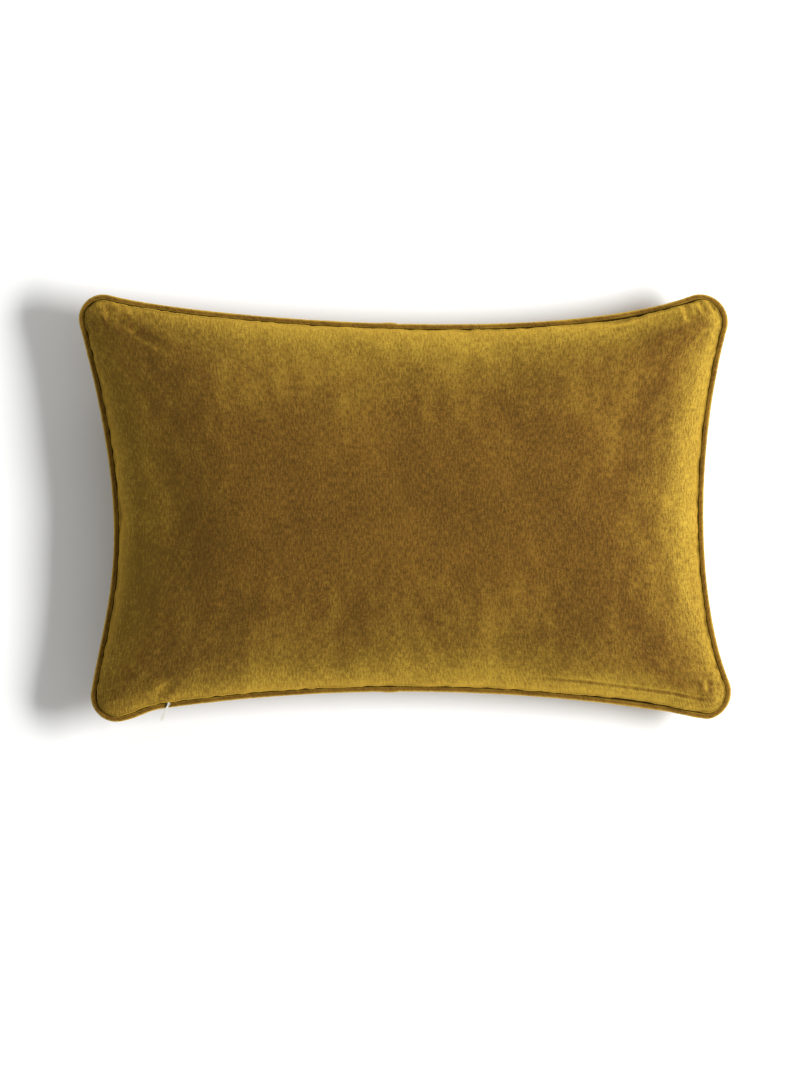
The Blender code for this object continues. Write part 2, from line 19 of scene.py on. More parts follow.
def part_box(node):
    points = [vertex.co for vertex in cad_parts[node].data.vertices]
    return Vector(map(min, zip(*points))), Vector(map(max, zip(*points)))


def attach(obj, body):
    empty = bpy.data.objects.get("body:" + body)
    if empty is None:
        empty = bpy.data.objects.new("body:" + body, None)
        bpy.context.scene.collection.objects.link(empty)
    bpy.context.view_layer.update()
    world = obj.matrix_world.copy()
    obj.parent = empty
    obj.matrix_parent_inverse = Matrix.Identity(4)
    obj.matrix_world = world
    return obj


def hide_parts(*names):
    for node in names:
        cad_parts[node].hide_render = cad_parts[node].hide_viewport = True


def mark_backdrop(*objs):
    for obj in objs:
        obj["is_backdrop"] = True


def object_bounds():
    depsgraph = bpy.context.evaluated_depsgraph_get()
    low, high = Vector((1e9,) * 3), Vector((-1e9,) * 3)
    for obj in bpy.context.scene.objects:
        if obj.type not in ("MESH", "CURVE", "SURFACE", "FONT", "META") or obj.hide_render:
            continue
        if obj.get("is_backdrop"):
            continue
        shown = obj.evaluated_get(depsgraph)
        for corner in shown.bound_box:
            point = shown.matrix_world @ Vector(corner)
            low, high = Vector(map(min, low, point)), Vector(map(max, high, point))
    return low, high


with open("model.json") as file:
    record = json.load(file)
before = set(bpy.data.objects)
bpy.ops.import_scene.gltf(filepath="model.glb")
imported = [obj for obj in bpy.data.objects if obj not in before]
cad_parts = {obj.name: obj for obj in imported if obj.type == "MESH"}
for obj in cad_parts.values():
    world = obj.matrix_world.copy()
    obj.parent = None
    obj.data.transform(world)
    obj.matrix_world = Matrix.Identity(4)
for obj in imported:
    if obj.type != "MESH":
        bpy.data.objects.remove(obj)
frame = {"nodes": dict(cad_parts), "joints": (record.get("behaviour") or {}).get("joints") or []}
cad_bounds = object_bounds()
joints = {joint["name"]: joint for joint in frame["joints"]}
print("nodes:", sorted(frame["nodes"]))

# %% [markdown]
# ## Driving sizes
# The stitch line is where the front, the piping and the back are sewn together, and every layer
# of the rim follows it. Its length and width are the piping's box less the piping that stands
# outside it. On the zip's side the line is an arc, whose centre is the axis that the slider turns
# about.

# %% Sizes from the frame
PIPING_REACH = 0.0048
PIPING_RADIUS = 0.0025
PIPING_CENTRE = -0.0023
POST_REACH = 0.0011

piping_low, piping_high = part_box("piping_cover")
LENGTH = round(piping_high.x - piping_low.x - 2 * PIPING_REACH, 3)
WIDTH = round(piping_high.y - piping_low.y - 2 * PIPING_REACH, 3)
SEAM_HEIGHT = joints["zip_slide"]["pos_m"][2]
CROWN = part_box("front_panel")[1].z
ARC_CENTRE = np.array(joints["zip_slide"]["pos_m"][:2])
POST = np.array(joints["pull_swing"]["pos_m"][:2])
ARC_RADIUS = float(np.linalg.norm(POST - ARC_CENTRE)) + POST_REACH
ZIP_INSETS = (0.072, 0.053)
ZIP_LEFT = -LENGTH / 2 + ZIP_INSETS[0]
ZIP_RIGHT = LENGTH / 2 - ZIP_INSETS[1]
print(f"stitch line {LENGTH * 1000:.0f} x {WIDTH * 1000:.0f} mm, {SEAM_HEIGHT * 1000:.0f} mm up")

# %% [markdown]
# ## The stitch line
# A filled cover pulls in along its sides and keeps its corners. Each corner is an arc, and each
# side is a Bezier curve that leaves and meets the corners along their tangents. The directions
# are those of the outward normal in degrees, counter-clockwise from the zip's left end.

# %% Corners and sides
CORNERS = (
    {"side": (-1, -1), "inset": (0.030, 0.019), "radius": 0.019, "turn": (170, 278)},
    {"side": (1, -1), "inset": (0.021, 0.023), "radius": 0.021, "turn": (-75, 22)},
    {"side": (1, 1), "inset": (0.024, 0.021), "radius": 0.021, "turn": (-15, 110)},
    {"side": (-1, 1), "inset": (0.018, 0.018), "radius": 0.018, "turn": (74, 195)},
)
ZIP_LEFT_HANDLES = (0.35, 0.35)
ZIP_RIGHT_HANDLES = (0.12, 0.12)
SIDE_HANDLES = ((0.25, 0.36), (0.27, 0.12), (0.60, 0.28))


def heading(angle):
    """Direction of travel, counter-clockwise, where the outward normal points along angle."""
    return np.array([-math.sin(angle), math.cos(angle)])


def arc(centre, radius, angles):
    return centre + radius * np.stack([np.cos(angles), np.sin(angles)], axis=1)


def corner_arc(corner, start, end, steps=16):
    half = np.array([LENGTH / 2, WIDTH / 2])
    centre = np.array(corner["side"]) * (half - np.array(corner["inset"]))
    return arc(centre, corner["radius"], np.linspace(start, end, steps + 1))


def arc_angle(x):
    return math.pi / 2 - math.asin((x - ARC_CENTRE[0]) / ARC_RADIUS)


def side_curve(start, start_angle, end, end_angle, handles, steps=120):
    chord = np.linalg.norm(end - start)
    leave = start + heading(start_angle) * handles[0] * chord
    arrive = end - heading(end_angle) * handles[1] * chord
    t = np.linspace(0, 1, steps + 1)[:, None]
    weights = ((1 - t) ** 3, 3 * (1 - t) ** 2 * t, 3 * (1 - t) * t**2, t**3)
    return sum(w * p for w, p in zip(weights, (start, leave, arrive, end)))


def seam_sides():
    """Dense points of the four sides, each from the middle of one corner to the next."""
    turns = [tuple(math.radians(a) for a in corner["turn"]) for corner in CORNERS]
    arrive = [corner_arc(c, a, (a + b) / 2) for c, (a, b) in zip(CORNERS, turns)]
    leave = [corner_arc(c, (a + b) / 2, b) for c, (a, b) in zip(CORNERS, turns)]
    angles = [arc_angle(x) for x in np.linspace(ZIP_LEFT, ZIP_RIGHT, 200)]
    zip_run = arc(ARC_CENTRE, ARC_RADIUS, angles)
    ends = (angles[0] - math.pi, angles[-1] - math.pi)
    before = side_curve(leave[0][-1], turns[0][1], zip_run[0], ends[0], ZIP_LEFT_HANDLES)
    after = side_curve(zip_run[-1], ends[1], arrive[1][0], turns[1][0], ZIP_RIGHT_HANDLES)
    middles = [[before, zip_run, after]]
    for k, handles in enumerate(SIDE_HANDLES, start=1):
        n = (k + 1) % 4
        middles.append([side_curve(leave[k][-1], turns[k][1], arrive[n][0], turns[n][0], handles)])
    sides = []
    for k, middle in enumerate(middles):
        points = np.concatenate([leave[k], *middle, arrive[(k + 1) % 4]])
        apart = np.linalg.norm(np.diff(points, axis=0), axis=1) > 1e-7
        sides.append(points[np.concatenate([[True], apart])])
    return sides


SIDES = seam_sides()


# %% Measure along the seam
def travel(points):
    steps = np.linalg.norm(np.diff(points, axis=0), axis=1)
    return np.concatenate([[0.0], np.cumsum(steps)])


def sample(points, at):
    """Places and inward normals at these distances along a line of points."""
    along = travel(points)
    tangent = np.gradient(points, along, axis=0)
    place = np.stack([np.interp(at, along, points[:, k]) for k in (0, 1)], axis=1)
    turn = np.stack([np.interp(at, along, tangent[:, k]) for k in (0, 1)], axis=1)
    turn /= np.linalg.norm(turn, axis=1)[:, None]
    return place, np.stack([-turn[:, 1], turn[:, 0]], axis=1)


SIDE_LENGTHS = [travel(side)[-1] for side in SIDES]
SEAM_LENGTH = sum(SIDE_LENGTHS)
WHOLE = np.concatenate([side[:-1] for side in SIDES] + [SIDES[0][:1]])
print("seam:", round(SEAM_LENGTH * 1000, 1), "mm; sides", [round(s * 1000) for s in SIDE_LENGTHS])


def smooth_step(x):
    t = np.clip(x, 0.0, 1.0)
    return t * t * (3 - 2 * t)


# %% [markdown]
# ## Heights at the rim
# The piping's flange lies in the middle of the seam, and each panel's folded rim lies on it. Over
# the zip the front rim stands higher, to leave room for the coils and the slider, and the ramps
# at the zip's ends bring it down again.

# %% Rim heights
VELVET = 0.0012
PIPING_CLOTH = 0.0008
FLANGE_TOP = 0.00095
ALLOWANCE = 0.008
RIM_FACE = FLANGE_TOP + 0.0002
FOLD_HEIGHT = 0.0026
FOLD_NOSE = 0.0010
GROOVE = 0.0006
LIFT_RAMP = 0.020
ZIP_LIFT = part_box("zip_slider")[1].z + 0.0003 - SEAM_HEIGHT - RIM_FACE
LIFT_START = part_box("zip_tape_upper")[0].x
LIFT_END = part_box("zip_tape_upper")[1].x


def lift_at(places):
    """How far the front rim stands above its usual height, at places on the zip's side."""
    x = places[:, 0]
    rise = (x - (LIFT_START - LIFT_RAMP)) / LIFT_RAMP
    fall = (LIFT_END + LIFT_RAMP - x) / LIFT_RAMP
    near = places[:, 1] < -WIDTH / 4
    return ZIP_LIFT * smooth_step(np.minimum(rise, fall)) * near


# %% [markdown]
# ## The cover's panels
# Each panel is cut flat, a little larger than the stitch line that it ends up in, and the filling
# pushes it out. A grid of cloth is laid inside the stitch line as a Coons patch: its rows and
# columns blend the four curved sides, so that the grain of the velvet bends as it does on a real
# cover.

# %% Lay a grid inside the stitch line
CELLS = (120, 80)


def side_rows(inset):
    """The four sides of the offset stitch line: bottom and top along X, left and right along Y."""
    rows = []
    for k, (side, length) in enumerate(zip(SIDES, SIDE_LENGTHS)):
        count = CELLS[k % 2]
        place, inward = sample(side, np.linspace(0, length, count + 1))
        rows.append(place + inward * inset)
    bottom, right, top, left = rows
    return bottom, top[::-1], left[::-1], right


def mean_shares(first, second):
    return (travel(first) / travel(first)[-1] + travel(second) / travel(second)[-1]) / 2


def coons(bottom, top, left, right):
    """Places of a grid whose edges are the four rows, and its shares along X and Y."""
    shares = mean_shares(bottom, top), mean_shares(left, right)
    s, t = shares[0][:, None, None], shares[1][None, :, None]
    across = (1 - t) * bottom[:, None] + t * top[:, None]
    along = (1 - s) * left[None] + s * right[None]
    lower = (1 - s) * bottom[0] + s * bottom[-1]
    upper = (1 - s) * top[0] + s * top[-1]
    return across + along - (1 - t) * lower - t * upper, *shares


def seam_place(places):
    """How far each place is from the stitch line, and how far along it the nearest point is."""
    start = WHOLE[:-1:4]
    run = np.roll(start, -1, axis=0) - start
    at = travel(np.concatenate([start, start[:1]]))
    depth, along = np.empty(places.shape[:-1]), np.empty(places.shape[:-1])
    for i, row in enumerate(places):
        gap = row[:, None, :] - start
        t = np.clip((gap * run).sum(-1) / (run * run).sum(-1), 0, 1)
        apart = np.linalg.norm(gap - t[..., None] * run, axis=-1)
        nearest = apart.argmin(-1)
        rows = np.arange(len(row))
        depth[i] = apart[rows, nearest]
        along[i] = at[nearest] + t[rows, nearest] * (at[nearest + 1] - at[nearest])
    return depth, along


GRID, SHARE_X, SHARE_Y = coons(*side_rows(FOLD_NOSE))
DEPTH, _ = seam_place(GRID)
print("panel grid:", GRID.shape[:2], "deepest", round(DEPTH.max() * 1000), "mm from the seam")

# %% [markdown]
# ## The shape before inflation
# The simulation starts close to where the real cover ends up: a rise of about a centimetre beside
# the seam, then a crown that is round across the pillow and flat-topped along it. The back is the
# same shape upside down, pressed flat where it lies on the floor.

# %% Crown heights
RIM_RISE = 0.012
RIM_RISE_WIDTH = 0.025
UNDERSIDE_DEPTH = 0.074
PROFILE_POWER = 0.85
SHOULDER_POWERS = {"along": 4, "across": 2}
LIFT_REACH = 0.06


def crown(base, peak):
    shoulder = 1 - (1 - np.clip(DEPTH / RIM_RISE_WIDTH, 0, 1)) ** 2
    across = 1 - np.abs(2 * SHARE_Y - 1) ** SHOULDER_POWERS["across"]
    along = 1 - np.abs(2 * SHARE_X - 1) ** SHOULDER_POWERS["along"]
    body = np.outer(along, across) ** PROFILE_POWER
    return base + RIM_RISE * shoulder + (peak - base - RIM_RISE) * body


PANEL_RIM = RIM_FACE + FOLD_HEIGHT
lift_grid = lift_at(GRID[:, 0])[:, None] * np.clip(1 - DEPTH / LIFT_REACH, 0, 1) ** 2
FRONT_START = crown(PANEL_RIM, CROWN - SEAM_HEIGHT) + lift_grid
BACK_START = np.minimum(crown(PANEL_RIM, UNDERSIDE_DEPTH), SEAM_HEIGHT)

# %% [markdown]
# ## Sewing and inflating
# Front and back are one closed cloth here, because air pressure needs a closed bag. The rim is
# pinned to the stitch line. The cloth's rest shape is the flat cut, a rounded rectangle with more
# cloth along its edges than the seam has room for, so the spare cloth puckers as the filling
# pushes it out. A modelled pucker would repeat, and this one doesn't.

# %% The flat cut
SPARE_CLOTH = 0.010
CUT = (LENGTH + SPARE_CLOTH, WIDTH + SPARE_CLOTH)
CUT_CORNER = 0.020


def cut_rows():
    """The four edges of the flat cut, sampled as the seam's sides are."""
    rows = []
    half = np.array(CUT) / 2
    signs = ((-1, -1), (1, -1), (1, 1), (-1, 1))
    for k in range(4):
        here = np.array(signs[k]) * (half - CUT_CORNER)
        there = np.array(signs[(k + 1) % 4]) * (half - CUT_CORNER)
        first = math.radians(225 + 90 * k)
        angles = first + np.linspace(0, math.pi / 4, 12)
        leave, arrive = arc(here, CUT_CORNER, angles), arc(there, CUT_CORNER, angles + math.pi / 4)
        points = np.concatenate([leave, arrive])
        rows.append(sample(points, np.linspace(0, travel(points)[-1], CELLS[k % 2] + 1))[0])
    bottom, right, top, left = rows
    return bottom, top[::-1], left[::-1], right


FLAT = coons(*cut_rows())[0]
print("flat cut:", [round(c * 1000) for c in CUT], "mm")


# %% Helpers for grids of cloth
def grid_mesh(bm, cells):
    """Add a grid to a bmesh and return its vertices by column and row."""
    made = bmesh.ops.create_grid(bm, x_segments=cells[0], y_segments=cells[1], size=1.0)["verts"]
    table = [[None] * (cells[1] + 1) for _ in range(cells[0] + 1)]
    for vert in made:
        i = round((vert.co.x + 1) / 2 * cells[0])
        j = round((vert.co.y + 1) / 2 * cells[1])
        table[i][j] = vert
    return table


def place_grid(table, places, layers=()):
    """Move each vertex of a grid to its place, and write its value in each layer."""
    for i, column in enumerate(table):
        for j, vert in enumerate(column):
            vert.co = places[i, j]
            for layer, values in layers:
                value = values[i, j]
                vert[layer] = (*value, 0.0) if np.ndim(value) else float(value)


def new_object(name, bm):
    mesh = bpy.data.meshes.new(name)
    bm.to_mesh(mesh)
    bm.free()
    obj = bpy.data.objects.new(name, mesh)
    bpy.context.scene.collection.objects.link(obj)
    return obj


def stand_in(obj, node, body="cushion"):
    """Make a piece ride on its body and stand for its frame node, which is hidden."""
    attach(obj, body)
    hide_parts(node)
    return obj


# %% Inflate the cover
FRAMES = 24
CUT_APART = 0.002
CLOTH = {
    "quality": 6,
    "mass": 0.3,
    "tension_stiffness": 40,
    "compression_stiffness": 40,
    "shear_stiffness": 10,
    "bending_stiffness": 0.4,
    "air_damping": 1.0,
    "use_pressure": True,
    "uniform_pressure_force": 4.0,
}


def sewn_cover():
    """Front and back grids in one closed mesh, with the flat cut as a second shape."""
    bm = bmesh.new()
    front, back = grid_mesh(bm, CELLS), grid_mesh(bm, CELLS)
    turned = [face for face in bm.faces if face.verts[0] in set(v for c in back for v in c)]
    bmesh.ops.reverse_faces(bm, faces=turned)
    place_grid(front, np.dstack([GRID, SEAM_HEIGHT + FRONT_START]))
    place_grid(back, np.dstack([GRID, SEAM_HEIGHT - BACK_START]))
    rim = [edge for edge in bm.edges if edge.is_boundary]
    bmesh.ops.bridge_loops(bm, edges=rim)
    bm.verts.index_update()
    order = np.array([[[v.index for v in c] for c in part] for part in (front, back)])
    return new_object("cover_cloth", bm), order


def simulate(obj, order):
    """Blow the sewn cover up with its rim pinned, and return its places."""
    obj.shape_key_add(name="sewn")
    cut = obj.shape_key_add(name="flat_cut")
    for side, height in enumerate((CUT_APART, -CUT_APART)):
        for (i, j), index in np.ndenumerate(order[side]):
            cut.data[index].co = (*FLAT[i, j], SEAM_HEIGHT + height)
    rim = np.zeros(order[0].shape, bool)
    rim[[0, -1], :] = True
    rim[:, [0, -1]] = True
    pins = obj.vertex_groups.new(name="pins")
    pins.add([int(i) for i in order[:, rim].ravel()], 1.0, "REPLACE")
    cloth = obj.modifiers.new("cloth", "CLOTH")
    for name, value in CLOTH.items():
        setattr(cloth.settings, name, value)
    cloth.settings.vertex_group_mass = pins.name
    cloth.settings.effector_weights.gravity = 0
    cloth.settings.rest_shape_key = cut
    cloth.collision_settings.use_collision = False
    cloth.collision_settings.use_self_collision = False
    cloth.point_cache.frame_start = 1
    cloth.point_cache.frame_end = FRAMES
    for step in range(1, FRAMES + 1):
        bpy.context.scene.frame_set(step)
    depsgraph = bpy.context.evaluated_depsgraph_get()
    mesh = obj.evaluated_get(depsgraph).to_mesh()
    places = np.empty(len(mesh.vertices) * 3, np.float32)
    mesh.vertices.foreach_get("co", places)
    return places.reshape(-1, 3)[order]


cover_cloth, ORDER = sewn_cover()
start = np.array([v.co for v in cover_cloth.data.vertices])[ORDER]
inflated = simulate(cover_cloth, ORDER)
bpy.data.objects.remove(cover_cloth)
moved = np.linalg.norm(inflated - start, axis=-1) * 1000
print(f"inflated: moved up to {moved.max():.1f} mm, {moved.mean():.1f} mm on average")

# %% [markdown]
# ## Settling the cloth
# A simulation may throw a point further than real cloth would go, so each point's travel is
# capped. The back is then pressed onto the floor with a soft shoulder, as the pillow's weight
# presses it: it is flat only where it rests. The grid is then resampled with cubic curves,
# closest beside the seam, because the puckers there are narrower than the cells that the
# simulation could afford.

# %% Cap the travel and rest the back
TRAVEL_CAP = 0.014
FLOOR_SOFTNESS = 0.003
SEAM_HOLD = 0.010

shift = inflated - start
reach = np.linalg.norm(shift, axis=-1, keepdims=True)
settled = start + shift * np.minimum(1, TRAVEL_CAP / np.maximum(reach, 1e-9))
under = settled[1, ..., 2]
pressed = (under + np.sqrt(under**2 + FLOOR_SOFTNESS**2)) / 2
free = np.clip(DEPTH / SEAM_HOLD, 0, 1)
settled[1, ..., 2] = under + (pressed - pressed.min() - under) * free
crown_height, lowest = settled[0, ..., 2].max() * 1000, settled[1, ..., 2].min() * 1000
print(f"crown {crown_height:.1f} mm, lowest {lowest:.2f} mm")


# %% Finer cells beside the seam
EDGE_CELLS = 12
EDGE_SPLIT = 4
MIDDLE_SPLIT = 1.5


def finer_steps(cells):
    """Places along one axis of a grid, counted in its cells: closest together near both ends."""
    edge = np.linspace(0, EDGE_CELLS, EDGE_CELLS * EDGE_SPLIT + 1)
    count = round((cells - 2 * EDGE_CELLS) * MIDDLE_SPLIT)
    middle = np.linspace(EDGE_CELLS, cells - EDGE_CELLS, count + 1)
    return np.concatenate([edge[:-1], middle, cells - edge[-2::-1]])


STEPS = [finer_steps(cells) for cells in CELLS]


def finer(grid):
    """Resample a grid at the finer steps, with cubic curves through its points."""
    for axis, steps in enumerate(STEPS):
        grid = np.moveaxis(grid, axis, 0)
        wide = np.concatenate([2 * grid[:1] - grid[1:2], grid, 2 * grid[-1:] - grid[-2:-1]])
        cell = np.minimum(steps.astype(int), len(grid) - 2)
        t = (steps - cell).reshape(-1, *[1] * (grid.ndim - 1))
        a, b, c, d = (wide[cell + k] for k in range(4))
        bend = 2 * a - 5 * b + 4 * c - d + t * (3 * (b - c) + d - a)
        grid = np.moveaxis(b + 0.5 * t * (c - a + t * bend), 0, axis)
    return grid


FINE = tuple(len(steps) - 1 for steps in STEPS)
FINE_FLAT = finer(FLAT)
FINE_GRID = finer(GRID)
FINE_DEPTH, FINE_ALONG = seam_place(FINE_GRID)
print("fine grid:", FINE)

# %% [markdown]
# ## Puckers and creases
# A seam holds a little more cloth than its own length, and the spare cloth stands in short ridges
# that run in from the seam and fade. Noise that repeats once round the seam, stretched across it,
# gives ridges of every size and no pattern. The few creases with a place of their own are grooves
# with a soft ridge on each side: the gathers at the corners, and the edge of the zip's tape
# showing through. Last, the gathered cloth draws back a little from the piping, unevenly, and
# gapes in two places.

# %% Ridges that run in from the seam
PUCKERS = (
    {"size": 0.026, "height": 0.0020, "reach": 0.030},
    {"size": 0.012, "height": 0.0011, "reach": 0.014},
    {"size": 0.006, "height": 0.0006, "reach": 0.007},
)
PUCKER_RAMP = 0.003
PUCKER_STRETCH = 3.5
PUCKER_SEED_STEP = 11.3
PATCHES = {"size": 0.090, "seed": 3.7, "middle": 0.6, "least": 0.1, "most": 1.2}


def seam_noise(along, depth, size, seed):
    """Smooth noise about size long along the seam, stretched across it, that closes on itself."""
    radius = SEAM_LENGTH / (2 * math.pi * size)
    out = np.empty(along.shape)
    for index, distance in np.ndenumerate(along):
        turn = 2 * math.pi * distance / SEAM_LENGTH
        inward = depth[index] / (PUCKER_STRETCH * size) + seed
        out[index] = noise.noise((radius * math.cos(turn), radius * math.sin(turn), inward))
    return out


def puckers(seed):
    total = np.zeros(FINE_DEPTH.shape)
    rise = smooth_step(FINE_DEPTH / PUCKER_RAMP)
    patches = seam_noise(FINE_ALONG, FINE_DEPTH * 0, PATCHES["size"], seed + PATCHES["seed"])
    share = np.clip(PATCHES["middle"] + patches, PATCHES["least"], PATCHES["most"])
    for k, layer in enumerate(PUCKERS):
        fade = np.exp(-FINE_DEPTH / layer["reach"])
        own_seed = seed + PUCKER_SEED_STEP * k
        ridges = seam_noise(FINE_ALONG, FINE_DEPTH, layer["size"], own_seed)
        total += layer["height"] * ridges * fade * rise * share
    return total


# %% Creases with a place of their own
CREASES = (  # from, to, width, depth
    ((-0.276, 0.188), (-0.274, 0.158), 0.0030, 0.0016),
    ((-0.252, 0.182), (-0.252, 0.148), 0.0024, 0.0008),
    ((-0.263, 0.186), (-0.262, 0.170), 0.0024, 0.0007),
    ((0.260, 0.190), (0.263, 0.166), 0.0028, 0.0014),
    ((0.274, 0.191), (0.279, 0.178), 0.0024, 0.0012),
    ((0.284, 0.188), (0.290, 0.180), 0.0018, 0.0009),
    ((0.292, 0.166), (0.284, 0.158), 0.0032, 0.0012),
    ((0.190, 0.170), (0.222, 0.178), 0.0022, 0.0009),
    ((0.294, -0.148), (0.262, -0.150), 0.0030, 0.0014),
    ((0.281, -0.160), (0.282, -0.178), 0.0026, 0.0008),
    ((-0.228, -0.176), (-0.214, -0.156), 0.0042, 0.0016),
    ((-0.250, -0.156), (-0.262, -0.138), 0.0050, 0.0008),
    ((-0.284, -0.176), (-0.262, -0.172), 0.0024, 0.0008),
)
RIDGE = {"height": 0.7, "away": 1.9}
CREASE_FADES = (0.25, 0.6)
TAPE_PRINT = {"at": 0.0131, "width": 0.0011, "depth": 0.0007}
TAPE_PRINT_GROOVE = 0.6
TAPE_PRINT_RIDGE = {"height": 0.8, "away": 1.4}
TAPE_PRINT_START = {"x": 0.110, "fade": 0.050}
TAPE_PRINT_END = {"short_of_corner": 0.012, "fade": 0.020}


def crease(places, start, end, width, depth):
    """A groove along a short line, with a soft ridge on each side, fading at both ends."""
    run = np.array(end) - np.array(start)
    length = np.linalg.norm(run)
    gap = places - np.array(start)
    share = (gap @ run) / length**2
    away = (gap @ np.array([-run[1], run[0]])) / length / width
    ends = smooth_step(share / CREASE_FADES[0] + 0.5) * smooth_step((1 - share) / CREASE_FADES[1])
    ridges = RIDGE["height"] * np.exp(-((np.abs(away) - RIDGE["away"]) ** 2))
    return depth * (-np.exp(-(away**2)) + ridges) * ends


def tape_print(places):
    """The zip tape's inner edge showing through the front, towards the zip's right end."""
    away = (FINE_DEPTH - TAPE_PRINT["at"]) / TAPE_PRINT["width"]
    groove = -np.exp(-((away - TAPE_PRINT_GROOVE) ** 2))
    ridge = TAPE_PRINT_RIDGE["height"] * np.exp(-((away + TAPE_PRINT_RIDGE["away"]) ** 2))
    start = smooth_step((places[..., 0] - TAPE_PRINT_START["x"]) / TAPE_PRINT_START["fade"])
    last = SIDE_LENGTHS[0] - TAPE_PRINT_END["short_of_corner"]
    end = smooth_step((last - FINE_ALONG) / TAPE_PRINT_END["fade"])
    return TAPE_PRINT["depth"] * (groove + ridge) * start * end


def outward(places, side):
    """Unit normals of a grid, on the outer side."""
    cross = np.cross(np.gradient(places, axis=0), np.gradient(places, axis=1))
    return side * cross / np.linalg.norm(cross, axis=-1, keepdims=True)


# %% Cloth that draws back from the piping
EDGE_WAVER = {"depth": 0.0012, "size": 0.008, "least": -0.3, "seed": 31.0}
DRAW_REACH = 0.005
GAPES = (
    {"at": (0.205, -0.186), "reach": 0.028, "depth": 0.0014},
    {"at": (0.200, 0.173), "reach": 0.018, "depth": 0.0010},
)
FINE_INWARD = sample(WHOLE, FINE_ALONG.ravel())[1].reshape(*FINE_ALONG.shape, 2)


def drawn_back(places, along, side):
    """How far the fold stands back from the stitch line, as gathered cloth does."""
    waver = seam_noise(along, along * 0, EDGE_WAVER["size"], EDGE_WAVER["seed"] * side)
    draw = EDGE_WAVER["depth"] * np.maximum(waver, EDGE_WAVER["least"])
    for gape in GAPES if side > 0 else ():
        away = np.linalg.norm(places - gape["at"], axis=-1) / gape["reach"]
        draw = draw + gape["depth"] * np.exp(-(away**2))
    return draw


# %% Hold the rim and wrinkle both faces
HOLLOWS = ({"size": 0.070, "height": 0.0012}, {"size": 0.022, "height": 0.00035})
HOLLOW_RAMP = 0.030
SIDEWAYS = 0.5
FLOOR_FADE = 0.012


def held(places):
    """Keep a point from moving sideways past the seam, so that the piping stays in sight."""
    sideways = places[..., :2] - FINE_GRID
    most = SIDEWAYS * FINE_DEPTH / np.maximum(np.linalg.norm(sideways, axis=-1), 1e-9)
    kept = places.copy()
    kept[..., :2] = FINE_GRID + sideways * np.minimum(1, most)[..., None]
    return kept


def slack(places, seed):
    """Shallow hollows over the whole face, where the filling is uneven."""
    total = np.zeros(places.shape[:-1])
    hold = smooth_step(FINE_DEPTH / HOLLOW_RAMP)
    for layer in HOLLOWS:
        for index in np.ndindex(total.shape):
            spot = Vector((*places[index][:2], seed)) / layer["size"]
            total[index] += layer["height"] * noise.noise(spot)
    return total * hold


SEEDS = (2.0, 47.0)
faces = []
for side, smooth, seed in zip((1, -1), settled, SEEDS):
    fine = held(finer(smooth))
    lift = puckers(seed) + slack(fine, seed)
    if side > 0:
        flat_places = fine[..., :2]
        hold = smooth_step(FINE_DEPTH / PUCKER_RAMP)
        lift += sum(crease(flat_places, *fold) for fold in CREASES) * hold + tape_print(flat_places)
    else:
        lift *= smooth_step(fine[..., 2] / FLOOR_FADE)
    fine = held(fine + outward(fine, side) * lift[..., None])
    draw = drawn_back(FINE_GRID, FINE_ALONG, side)
    draw = draw * np.exp(-(((FINE_DEPTH - FOLD_NOSE) / DRAW_REACH) ** 2))
    fine[..., :2] += FINE_INWARD * draw[..., None]
    fine[..., 2] = np.maximum(fine[..., 2], 0.0)
    faces.append(fine)
    print(f"side {side}: wrinkled by {lift.min() * 1000:.2f} to {lift.max() * 1000:.2f} mm")

# %% [markdown]
# ## From grid to panel
# Each panel is one grid, folded under along the stitch line into its seam allowance. The fold is
# made by extruding the grid's border three times, and a Solidify modifier gives the velvet its
# thickness on the inner side. The flat cut goes into a UV map in metres, so that ribs and pile
# keep their real scale and bend with the cloth. A second value says how deep in the seam's groove
# a point is, where the colour is painted dark as shade.

# %% Rim stations at the fine grid's spacing
stations = [
    sample(side, length * STEPS[k % 2] / CELLS[k % 2])
    for k, (side, length) in enumerate(zip(SIDES, SIDE_LENGTHS))
]
RING_PLACE, RING_INWARD = (
    np.concatenate([station[part][:-1] for station in stations]) for part in (0, 1)
)
RING_LIFT = lift_at(RING_PLACE)
RING_ALONG = seam_place(RING_PLACE[None])[1][0]


def border(table):
    """The grid's border vertices, counter-clockwise, in the order of the rim stations."""
    across, up = len(table) - 1, len(table[0]) - 1
    ring = [table[i][0] for i in range(across)] + [table[across][j] for j in range(up)]
    ring += [table[across - i][up] for i in range(across)]
    return ring + [table[0][up - j] for j in range(up)]


def add_ring(bm, ring, places):
    """Extrude a closed ring of vertices and put the new ones at these places, in the same order."""
    edges = [bm.edges.get(pair) for pair in zip(ring, ring[1:] + ring[:1])]
    made = bmesh.ops.extrude_edge_only(bm, edges=edges)["geom"]
    fresh = {v for v in made if isinstance(v, bmesh.types.BMVert)}
    after = []
    for vert, place in zip(ring, places):
        new = next(v for v in (e.other_vert(vert) for e in vert.link_edges) if v in fresh)
        new.co = place
        after.append(new)
    return after


def write_uv(bm, cloth):
    """Copy each vertex's place on the flat cloth to its corners' UVs."""
    uv = bm.loops.layers.uv.new("cloth")
    for face in bm.faces:
        for loop in face.loops:
            loop[uv].uv = loop.vert[cloth].xy


def thicken(obj, thickness, offset=-1.0):
    wall = obj.modifiers.new("wall", "SOLIDIFY")
    wall.thickness = thickness
    wall.offset = offset
    wall.use_even_offset = True
    wall.use_quality_normals = True
    return obj


def smooth_shading(obj):
    obj.data.polygons.foreach_set("use_smooth", [True] * len(obj.data.polygons))
    return obj


# %% Make the front and the back
CREVICE_REACH = 0.0010


